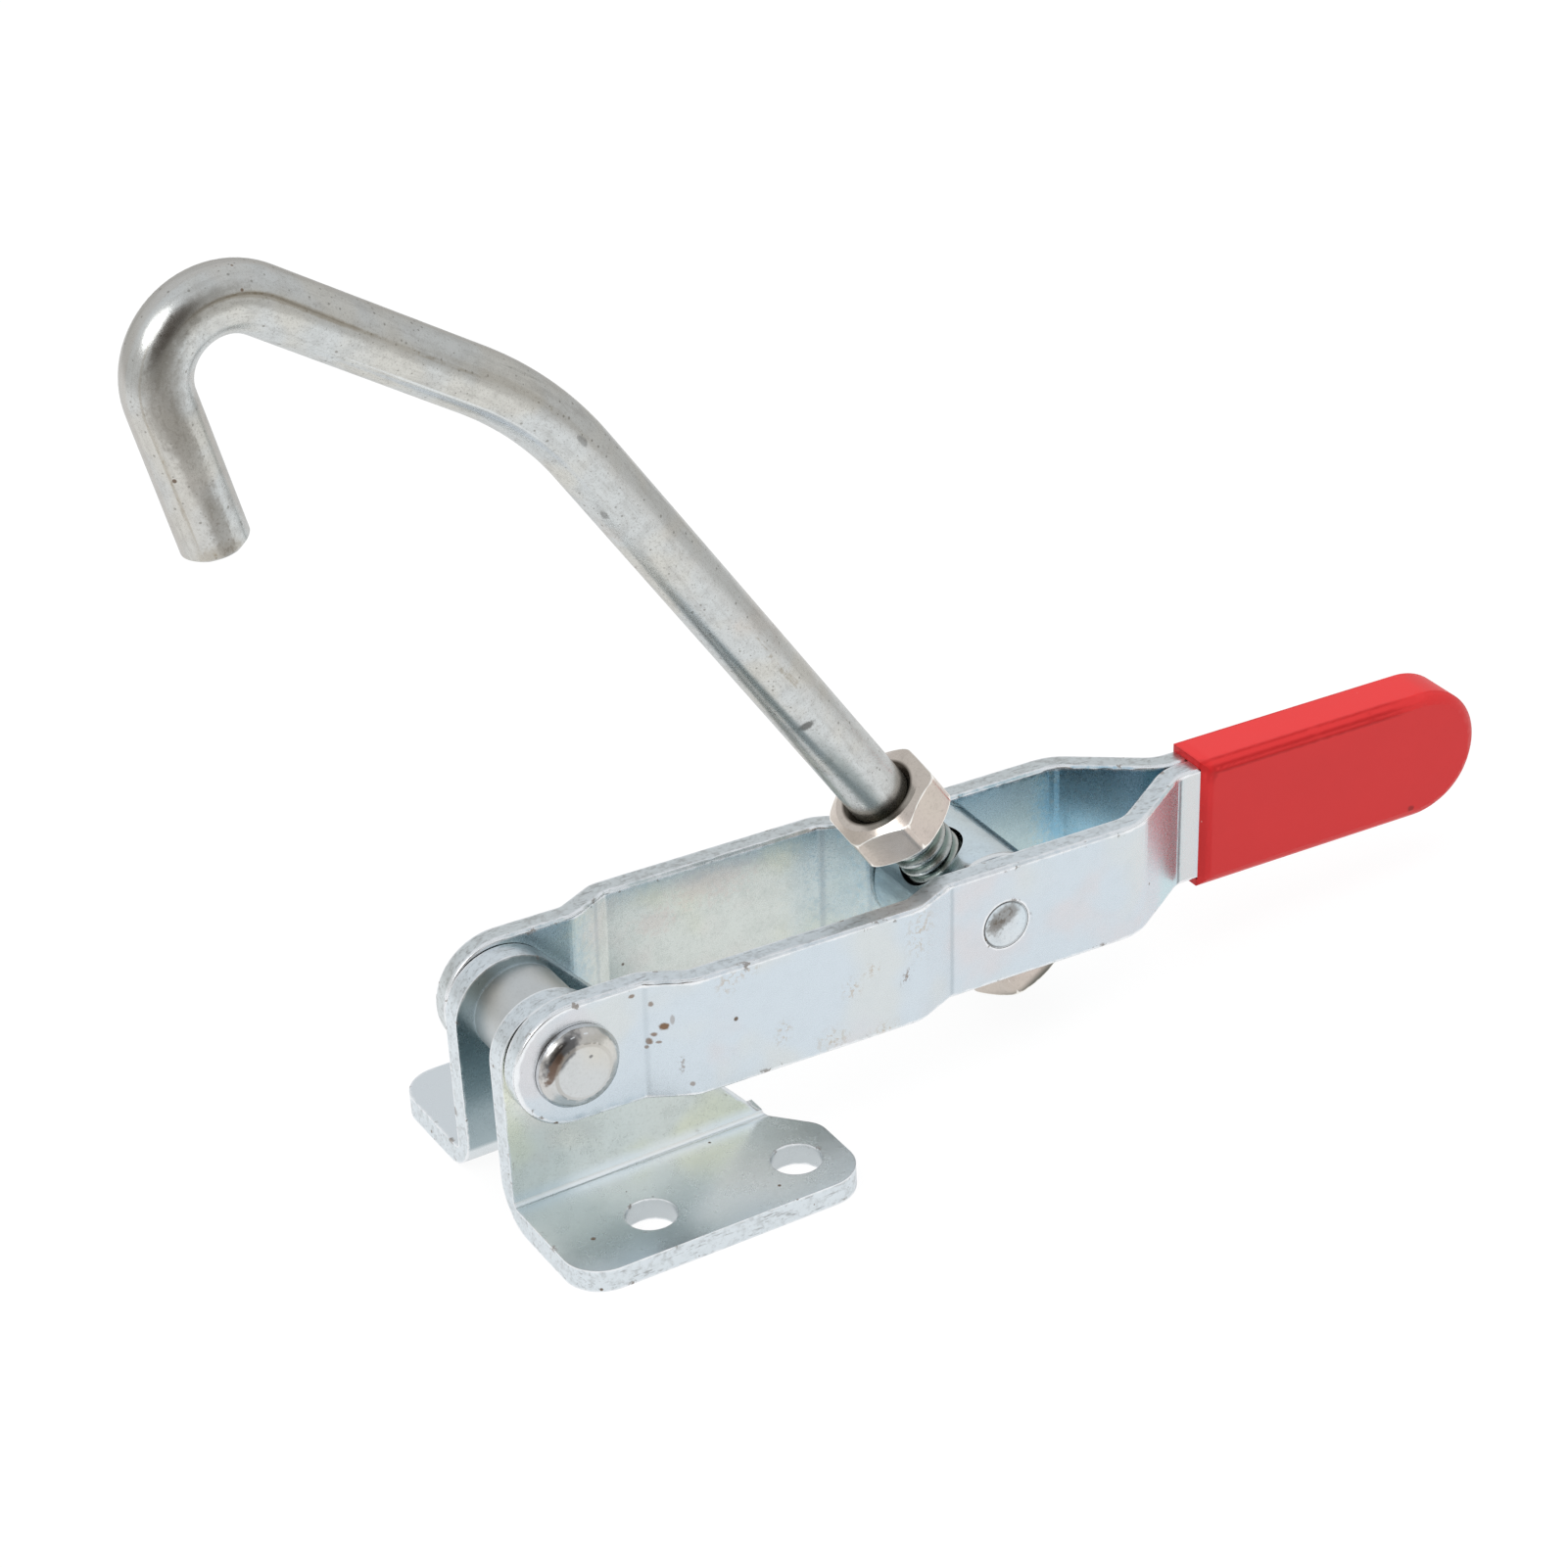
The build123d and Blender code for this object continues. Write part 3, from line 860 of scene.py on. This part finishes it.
# %% [markdown]
# ## Hook bolt
# Round bar is cut to length, rolled with a thread at one end, and bent twice over a
# former. Its shape follows one rule: a circle carried along a line with two rounded
# corners. Geometry Nodes states that rule once. A grid is wrapped round the line, so the
# thread is only a change of radius that winds with both ways of the grid.

# %% Corners of the bar's centre line
bolt_r = 3.95
shank_angle, arm_angle, hook_angle = 57.1, 33.7, -103.0
shank_length, arm_length, hook_length, tail_length = 96.7, 57.6, 38.8, 16.6
upper_nut_at, lower_nut_at = 14.4, -15.4


def towards_hook(angle):
    return Vector((-cos(radians(angle)), 0, sin(radians(angle))))


tail_point = bar - towards_hook(shank_angle) * tail_length * MM
crank_point = bar + towards_hook(shank_angle) * shank_length * MM
hook_point = crank_point + towards_hook(arm_angle) * arm_length * MM
tip_point = hook_point + towards_hook(hook_angle) * hook_length * MM
corners = [tail_point, crank_point, hook_point, tip_point]
corner_line = bpy.data.meshes.new("corner_line")
corner_line.from_pydata(corners, [(0, 1), (1, 2), (2, 3)], [])
print("corners in mm:", [in_mm(corner) for corner in corners])


# %% Small tools for geometry trees
def geometry_tree(name, sizes):
    """A geometry tree with one named input for each size, and its input and output nodes."""
    tree = bpy.data.node_groups.new(name, "GeometryNodeTree")
    tree.interface.new_socket("Geometry", in_out="INPUT", socket_type="NodeSocketGeometry")
    for label, value in sizes.items():
        kind = "NodeSocketMaterial" if isinstance(value, bpy.types.Material) else "NodeSocketFloat"
        tree.interface.new_socket(label, in_out="INPUT", socket_type=kind)
    tree.interface.new_socket("Geometry", in_out="OUTPUT", socket_type="NodeSocketGeometry")
    return tree, tree.nodes.new("NodeGroupInput").outputs, tree.nodes.new("NodeGroupOutput").inputs


def rolled_grid(tree, last_row, around):
    """A flat grid, the number of each point's row, and each point's share of a full turn."""
    grid = tree.nodes.new("GeometryNodeMeshGrid")
    grid.inputs["Vertices X"].default_value = last_row + 1
    grid.inputs["Vertices Y"].default_value = around + 1
    cell = parts_of(tree.nodes.new("GeometryNodeInputPosition").outputs[0])
    return grid.outputs["Mesh"], times(plus(cell["X"], 0.5), last_row), plus(cell["Y"], 0.5)


def store(geometry, kind, name, value):
    node = add_node(tree_of(value), "GeometryNodeStoreNamedAttribute", Geometry=geometry, Name=name)
    node.data_type = kind
    plug(node.inputs["Value"], value)
    return node.outputs[0]


def closed(shape, metal, crease_degrees):
    """Joins the seams, keeps creases sharp, and ends the tree with real geometry and a material."""
    tree = tree_of(shape)
    shape = add_node(
        tree, "GeometryNodeMergeByDistance", Geometry=shape, Distance=0.001 * MM).outputs[0]
    shape = add_node(tree, "GeometryNodeFlipFaces", Mesh=shape).outputs[0]
    shape = add_node(tree, "GeometryNodeSetShadeSmooth", Geometry=shape).outputs[0]
    crease = tree.nodes.new("GeometryNodeInputMeshEdgeAngle").outputs["Unsigned Angle"]
    crease = math_node("GREATER_THAN", crease, radians(crease_degrees))
    sharp = add_node(tree, "GeometryNodeSetShadeSmooth", Geometry=shape, Selection=crease,
                     Shade_Smooth=False)
    sharp.domain = "EDGE"
    shape = add_node(tree, "GeometryNodeRealizeInstances", Geometry=sharp.outputs[0]).outputs[0]
    return add_node(tree, "GeometryNodeSetMaterial", Geometry=shape, Material=metal).outputs[0]


def grown(name, mesh, tree, sizes):
    """Runs the tree on a mesh and returns the result as a plain mesh object."""
    source = placed(name + "_source", mesh)
    modifier = source.modifiers.new("grow", "NODES")
    modifier.node_group = tree
    for item in tree.interface.items_tree:
        if item.in_out == "INPUT" and item.name in sizes:
            modifier[item.identifier] = sizes[item.name]
    bpy.context.view_layer.update()
    evaluated = source.evaluated_get(bpy.context.evaluated_depsgraph_get())
    result = bpy.data.meshes.new_from_object(evaluated)
    result.name = name
    bpy.data.objects.remove(source)
    return placed(name, result)


# %% Marks of the bar
OCHRE, SOOT, MOTTLE = (0.31, 0.265, 0.195), (0.12, 0.12, 0.115), (0.22, 0.205, 0.18)
TEAL_DARK, PAINTED_SHADE_GREY = (0.19, 0.235, 0.235), (0.535, 0.51, 0.475)
# middle along and round, half length and width, colour, amount, slant, ragged, soft, flecks
BAR_MARKS = (
    (118, -24, 12, 6, OCHRE, 0.55, -0.4, 1.3, 0.35, 0.7),
    (133, -18, 12, 4, OCHRE, 0.55, 0, 1.4, 0.35, 0.7),
    (150, -21, 11, 5, OCHRE, 0.75, -0.1, 1.2, 0.35, 0.35),
    (152, -22, 9, 2.2, (0.20, 0.165, 0.12), 0.8, -0.1, 1.2, 0.35, 0.4),
    (136, -19, 9, 1.8, (0.22, 0.18, 0.13), 0.6, 0.1, 1.2, 0.35, 0.9),
    # Painted shade: this mark darkens the right side of the hook's leg.
    (176, 66, 12, 22, (0.44, 0.42, 0.39), 0.75, 0, 0.8, 0.5),
    (187.3, -12, 1.4, 34, OCHRE, 0.8, 0, 1.2, 0.35, 0.5),
    (160.5, -26, 6, 15, MOTTLE, 0.6, 1.2, 1.2, 0.6),
    (168, -12, 7, 32, MOTTLE, 0.85, 0.8, 1.2, 0.4, 0.3),
    (176, -4, 10, 19, MOTTLE, 0.8, 0.3, 1.4, 0.4, 0.35),
    (185, 0, 6, 14, MOTTLE, 0.95, 0, 1.5, 0.4, 0.5),
    (181, -45, 12, 4, OCHRE, 0.5, -0.3, 1.4, 0.35, 0.8),
    # Painted shade on the right side of the leg, as above.
    (176, 52, 9, 7, PAINTED_SHADE_GREY, 0.6, 0, 1.4, 0.5, 0.4),
    (174, -46, 12, 2.5, OCHRE, 0.6, 0.3, 1.4, 0.35, 0.5),
    (118, -55, 3, 3, SOOT, 0.7, 1, 1.4, 0.35, 0.8),
    (108, -12, 0.8, 5, SOOT, 0.5, 0, 1.4),
    (98, 47, 0.7, 6, SOOT, 0.5, 0, 1.4),
    (67, -12, 8, 9, OCHRE, 0.6, 0, 0.8, 0.35, 1),
    (56, 23, 0.5, 16, SOOT, 0.85, 3, 0.8),
    (43, 24, 9, 15, TEAL_DARK, 0.65, 0, 0.5, 0.6),
    (35.6, 30, 1.8, 80, (0.45, 0.45, 0.30), 0.4, 0, 0.4, 0.7),
    (60, 42, 18, 8, TEAL_DARK, 0.6, 0.40, 0.4, 0.6),
    (126, 31, 13, 2.2, (0.86, 0.89, 0.90), 0.6, 0, 0.5, 0.6),
    (122, 39, 16, 5, (0.52, 0.57, 0.62), 0.6, 0.1, 0.5, 0.6),
)
bar_marks = [mark((x, y), (length, width), *rest) for x, y, length, width, *rest in BAR_MARKS]
print("marks on the bar:", len(bar_marks))

# %% The bar's metal
STRETCH = (0.12 * MM, bolt_r * MM, bolt_r * MM)


def bar_paint(tree, place, colour):
    """Marks by mm along the bar and degrees round it, over noise drawn out lengthways, with painted
    shade on the upper side, near its top edge and in the thread.
    """
    spot = read_attribute(tree, "bar_place")["Vector"]
    along, by_side, by_up = parts_of(spot)
    around = times(math_node("ARCTAN2", by_up, by_side), 180 / pi)
    drawn = noise(vector_node("MULTIPLY", spot, STRETCH), 0.8, 4.0, 0.65)
    ragged = times(plus(drawn, noise(place, 0.7, 5.0, 0.7)), 0.5)
    # Painted shade: the upper side is duller and darker, most of all near its top edge.
    upper = falling(around, -16.0, 4.0)
    upper = times(upper, smooth_step(along, 60.0, 105.0, 0.22, 0.33))
    top_edge_shade = smooth_step(around, -80.0, -66.0, 0.75, 0.0)
    colour = mix_colour(larger(upper, top_edge_shade), colour, PAINTED_SHADE_GREY)
    streak = times(smooth_step(drawn, 0.50, 0.64), 0.22)
    colour = mix_colour(streak, colour, (0.33, 0.32, 0.30))
    pores = use_group(specks, Vector=place, Spacing=0.7, Radius=0.32, Share=0.5)["Mask"]
    colour = mix_colour(times(pores, 0.65), colour, (0.22, 0.21, 0.19))
    colour = with_stains_and_painted_light(colour, along, around, bar_marks, ragged)
    # Painted shade in the roots of the thread.
    thread = falling(along, 34.6, 35.6)
    groove = read_attribute(tree, "groove")["Fac"]
    shade = smooth_step(groove, 0.05, 0.8, 0.15, 0.8)
    return mix_colour(times(shade, thread), colour, (0.13, 0.20, 0.17))


rod_tones = ((0.62, 0.645, 0.645), (0.635, 0.63, 0.59), (0.615, 0.585, 0.55), (0.24, 0.23, 0.215))
bar_zinc = plated_metal(
    "zinc_rod", rod_tones, paint=bar_paint, edge_tint=0.82, Roughness=0.25, Grain=0.5,
    Dullness=0.2, depth=0.006, rust=0.25, Bloom_Size=9.0, Grain_Size=0.25)

# %% The tree that sweeps the bar
bar_sizes = {
    "Bar Radius": bolt_r, "Crank Radius": 43.8, "Hook Radius": 8.0, "Pitch": 1.75,
    "Thread Depth": 0.62, "Thread Length": tail_length + upper_nut_at + 4.5, "Run Out": 2.0,
    "End Bevel": 0.6, "Shear": 0.5, "Metal": bar_zinc,
}
FINE_ROWS, COARSE_ROWS, AROUND, CORNER_POINTS = 300, 200, 56, 40
FINE_STEP = bar_sizes["Pitch"] / 10
TORN_LENGTH = 1.6
tree, size, out = geometry_tree("bent_bar", bar_sizes)

corner = tree.nodes.new("GeometryNodeInputIndex").outputs[0]
at_crank = math_node("COMPARE", corner, 1.0, 0.1)
crank_part = times(at_crank, size["Crank Radius"])
hook_part = times(minus(1.0, at_crank), size["Hook Radius"])
corner_radius = times(plus(crank_part, hook_part), MM)
line = add_node(tree, "GeometryNodeMeshToCurve", Mesh=size["Geometry"]).outputs[0]
rounded = add_node(tree, "GeometryNodeFilletCurve", Curve=line, Radius=corner_radius)
rounded.mode = "POLY"
rounded.inputs["Count"].default_value = CORNER_POINTS
route = rounded.outputs[0]
total_mm = over(add_node(tree, "GeometryNodeCurveLength", Curve=route).outputs[0], MM)
last_row = FINE_ROWS + COARSE_ROWS + 2
grid, row, turn = rolled_grid(tree, last_row, AROUND)
print("grid:", last_row + 1, "rows of", AROUND, "points")

# %% [markdown]
# The first and last rows close the bar's ends, so they have no radius. Between them the
# rows are fine along the thread, ten to a turn of it, and coarse on the plain bar.

# %% Distance along the bar for each row, and the cut of the thread
ring = minus(row, 1.0)
ring = smaller(larger(ring, 0.0), FINE_ROWS + COARSE_ROWS)
fine_part = times(smaller(ring, FINE_ROWS), FINE_STEP)
coarse_rings = larger(minus(ring, FINE_ROWS), 0.0)
coarse_step = over(minus(total_mm, FINE_ROWS * FINE_STEP), COARSE_ROWS)
along = times_plus(coarse_rings, coarse_step, fine_part)

phase = minus(over(along, size["Pitch"]), turn)
phase = math_node("FRACT", phase)
from_root = absolute(minus(phase, 0.5))
groove = falling(from_root, 0.06, 0.42)
to_end = minus(size["Thread Length"], along)
fade = smooth_step(over(to_end, size["Run Out"]), 0.0, 1.0)
groove = times(groove, fade)
cut = times(groove, size["Thread Depth"])
from_tip = minus(total_mm, along)
from_end = smaller(along, from_tip)
bevel = larger(minus(size["End Bevel"], from_end), 0.0)
radius = minus(size["Bar Radius"], larger(bevel, cut))
inner_rows = math_node("COMPARE", row, last_row / 2, last_row / 2 - 0.5)
radius = times(radius, inner_rows)
tell(tree, "so far the tree")

# %% [markdown]
# Each point then stands off the line by its radius, at its own share of a turn. The
# bar's place is stored with it, along and around, because its metal reads it.

# %% Wrap the grid round the line
sample = tree.nodes.new("GeometryNodeSampleCurve")
sample.mode = "LENGTH"
plug(sample.inputs["Curves"], route)
plug(sample.inputs["Length"], times(along, MM))
centre, heading = sample.outputs["Position"], sample.outputs["Tangent"]
turned_by = times(turn, 2 * pi)
sideways = add_node(tree, "ShaderNodeCombineXYZ", X=0.0, Y=1.0, Z=0.0).outputs[0]
across = vector_node("CROSS_PRODUCT", heading, sideways)

by_side, by_across = math_node("COSINE", turned_by), math_node("SINE", turned_by)
way = vector_node("ADD", scaled(sideways, by_side), scaled(across, by_across))
reach = times(radius, MM)
spot = vector_node("ADD", centre, scaled(way, reach))
uneven = add_node(tree, "ShaderNodeTexNoise", Vector=spot, Scale=0.35 / MM).outputs["Fac"]
torn = times(times(uneven, falling(from_tip, 0.0, TORN_LENGTH)), size["Shear"])
back = scaled(heading, times(torn, -MM))
spot = vector_node("ADD", spot, back)

away = times(by_side, -1.0)
bar_place = add_node(tree, "ShaderNodeCombineXYZ", X=along, Y=away, Z=by_across).outputs[0]
shape = store(grid, "FLOAT_VECTOR", "bar_place", bar_place)
shape = store(shape, "FLOAT", "groove", groove)
shape = store(shape, "FLOAT", "rim", plus(from_end, 0.1))
shape = add_node(tree, "GeometryNodeSetPosition", Geometry=shape, Position=spot).outputs[0]
plug(out["Geometry"], closed(shape, size["Metal"], 40))
tell(tree, "the whole tree")

# %% Grow the bar
hook_bar = grown("hook_bar", corner_line, tree, bar_sizes)
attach(hook_bar, "hook")
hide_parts("hook_bolt")
print("bar faces:", len(hook_bar.data.polygons))

# %% [markdown]
# ## Nuts
# Stainless nuts stand out pinkish beside the blue plate. A hexagon nut follows a rule as
# well: six flats, a cone turned over both ends, a hole with countersunk mouths. The tree
# walks once round that section for each direction, so both nuts come from one rule. The
# cone and the flats meet in a curved edge, and a near-white painted highlight runs along
# it. Painted shade lies round the bore and on the lower nut's low side.


# %% The nuts' metal
def nut_paint(tree, place, colour):
    """Painted shade round the bore, and painted shade again on the lower nut's low side, beneath the
    handle.
    """
    from_bar = vector_node("SUBTRACT", place, bar)
    off_axis = vector_node("CROSS_PRODUCT", from_bar, shank_dir / MM)
    reach = vector_node("LENGTH", off_axis)
    # Painted shade round the bore.
    bore_shade = smooth_step(reach, 4.65, 5.1, 0.9, 0.0)
    colour = mix_colour(bore_shade, colour, (0.085, 0.07, 0.055))
    height = dot(from_bar, shank_dir / MM)
    # Painted shade on the low side of the lower nut.
    underside_shade = smooth_step(height, -14.7, -13.3, 0.9, 0.0)
    low_side = dot(from_bar, Vector((1, 0, 0)) / MM)
    underside_shade = times(underside_shade, smooth_step(low_side, 2.5, 5.0))
    return mix_colour(underside_shade, colour, (0.10, 0.105, 0.09))


nut_tones = ((0.60, 0.53, 0.48), (0.61, 0.545, 0.485), (0.59, 0.51, 0.47), (0.24, 0.21, 0.185))
# The near-white rim colour is a painted highlight along the nut's edges.
nut_metal = plated_metal(
    "nut_metal", nut_tones, rim_width=0.2, rim_colour=(0.95, 0.92, 0.87), rust=0.04, chips=0.0,
    paint=nut_paint, Roughness=0.20, Grain=0.25, Dullness=0.15, depth=0.003)

# %% The tree that turns a nut
nut_sizes = {
    "Across Flats": 13.0, "Height": 6.5, "Corner Radius": 7.2, "Face Radius": 5.75,
    "Cone Slope": 0.66, "Bore Radius": 4.0, "Mouth": 0.65, "Metal": nut_metal,
}
AROUND_NUT, SIDES, ROWS_A_SIDE = 120, 7, 5
tree, size, out = geometry_tree("hexagon_nut", nut_sizes)
last_row = SIDES * ROWS_A_SIDE + 1
grid, row, turn = rolled_grid(tree, last_row, AROUND_NUT)
row = times(row, math_node("LESS_THAN", row, last_row - 0.5))
walk = minus(over(row, ROWS_A_SIDE), SIDES / 2)
from_middle = absolute(walk)
turned_by = times(turn, 2 * pi)


def stage_share(value, start, length):
    """0 before start, 1 after start + length, and a straight line between."""
    share = over(minus(value, start), length)
    return smaller(larger(share, 0.0), 1.0)


CORNER_BLEND = 0.25
STAGES = ((0.0, 0.5), (0.5, 1.0), (1.5, 1.0), (2.5, 1.0))
shares = [stage_share(from_middle, *stage) for stage in STAGES]
side_share, cone_share, face_share, mouth_share = shares
sixth = minus(math_node("MODULO", turned_by, pi / 3), pi / 6)
flat = over(times(size["Across Flats"], 0.5), math_node("COSINE", sixth))
outer = math_node("SMOOTH_MIN", flat, size["Corner Radius"], CORNER_BLEND)
to_face = minus(outer, size["Face Radius"])
drop = times(to_face, size["Cone Slope"])
mouth_radius = plus(size["Bore Radius"], size["Mouth"])
face_width = minus(size["Face Radius"], mouth_radius)

radius = minus(outer, times(to_face, cone_share))
radius = minus(radius, times(face_width, face_share))
radius = minus(radius, times(size["Mouth"], mouth_share))
half = times(size["Height"], 0.5)
height = times(minus(half, drop), side_share)
height = times_plus(drop, cone_share, height)
height = minus(height, times(size["Mouth"], mouth_share))
height = times(height, math_node("SIGN", walk))
tell(tree, "so far the tree")

# %% Turn the section, and measure how far each point is from an edge
CONE_RUN, FLAT_RUN, CORNER_RUN = 1.6, 5.2, 7.3
spot = add_node(
    tree, "ShaderNodeCombineXYZ", X=times(radius, math_node("COSINE", turned_by)),
    Y=times(radius, math_node("SINE", turned_by)), Z=height,
).outputs[0]
above_edge = times(minus(from_middle, 0.5), CONE_RUN)
below_edge = times(minus(0.5, from_middle), FLAT_RUN)
rim = larger(above_edge, below_edge)
to_corner = times(minus(pi / 6, absolute(sixth)), CORNER_RUN)
to_corner = plus(times(cone_share, RIM_REACH), plus(to_corner, 0.15))
shape = store(grid, "FLOAT", "rim", smaller(rim, to_corner))
shape = add_node(tree, "GeometryNodeSetPosition", Geometry=shape, Position=scaled(spot, MM)).outputs[0]
plug(out["Geometry"], closed(shape, size["Metal"], 25))
tell(tree, "the whole tree")

# %% Two nuts from one tree
nut_seats = {"upper_nut": (upper_nut_at, 54.0), "lower_nut": (lower_nut_at, 28.0)}
side_way = Vector((0, 1, 0))
for node, (start, turn) in nut_seats.items():
    nut = grown(node + "_turned", bpy.data.meshes.new("empty"), tree, nut_sizes)
    axes = Matrix((side_way, shank_dir.cross(side_way), shank_dir)).transposed().to_4x4()
    middle = bar + shank_dir * (start + nut_sizes["Height"] / 2) * MM
    nut.data.transform(Matrix.Translation(middle) @ axes @ Matrix.Rotation(radians(turn), 4, "Z"))
    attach(nut, frame["nodes"][node]["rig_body"])
    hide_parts(node)
    print(nut.name, "faces:", len(nut.data.polygons))

# %% [markdown]
# ## Grip
# The handle's end was heated and dipped in soft vinyl. The skin is matte, a little
# uneven, and thickest at its mouth, where it gathered into a lip before it set. Its red
# is deep, and pale dust sits on it. A darker red along the top crease is painted shade,
# and a paler red along the top is a painted highlight.

# %% Dress the grip
MOUTH = 94.0
LIP_LENGTH = 1.7

red_vinyl, tree, shader, place = new_material("red_vinyl")
along, up = handle_place(place)
patch = noise(place, 9.0, 2.0)
fine = noise(place, 0.5, 3.0)
red = mix_colour(patch, (0.62, 0.021, 0.022), (0.67, 0.026, 0.027))
# Painted shade: a darker red along the crease below the top.
crease_shade = smooth_step(read_attribute(tree, "rim")["Fac"], 0.05, 0.45, 0.85, 0.0)
crease_shade = times(crease_shade, smooth_step(up, 5.5, 7.5))
crease_shade = times(crease_shade, falling(along, 122.0, 128.0))
red = mix_colour(crease_shade, red, (0.42, 0.001, 0.002))
# Painted highlight: the top of the grip is paler.
top_highlight = smooth_step(up, 8.9, 9.5)
red = mix_colour(top_highlight, red, (0.81, 0.036, 0.036))
lip = falling(along, MOUTH + LIP_LENGTH - 0.5, MOUTH + LIP_LENGTH + 0.3)
red = mix_colour(times(lip, 0.35), red, (0.66, 0.008, 0.010))
dust = use_group(specks, Vector=place, Spacing=2.2, Radius=0.08, Share=0.35)
red = mix_colour(dust["Mask"], red, (0.80, 0.45, 0.42))
nicks = [
    mark((127.7, -7.3), (0.5, 0.4), (0.30, 0.01, 0.01), 0.9, ragged=1.0),
    mark((100.0, 9.7), (4.6, 0.3), (0.40, 0.005, 0.006), 0.8, ragged=1.0),
]
red = with_stains_and_painted_light(red, along, up, nicks, fine)
plug(shader.inputs["Base Color"], red)
plug(shader.inputs["Roughness"], times_plus(patch, 0.10, 0.42))
shader.inputs["Specular IOR Level"].default_value = 0.32
bump(shader, fine, 0.004)

dressed("handle_grip", red_vinyl, "red_vinyl", least=radians(12))
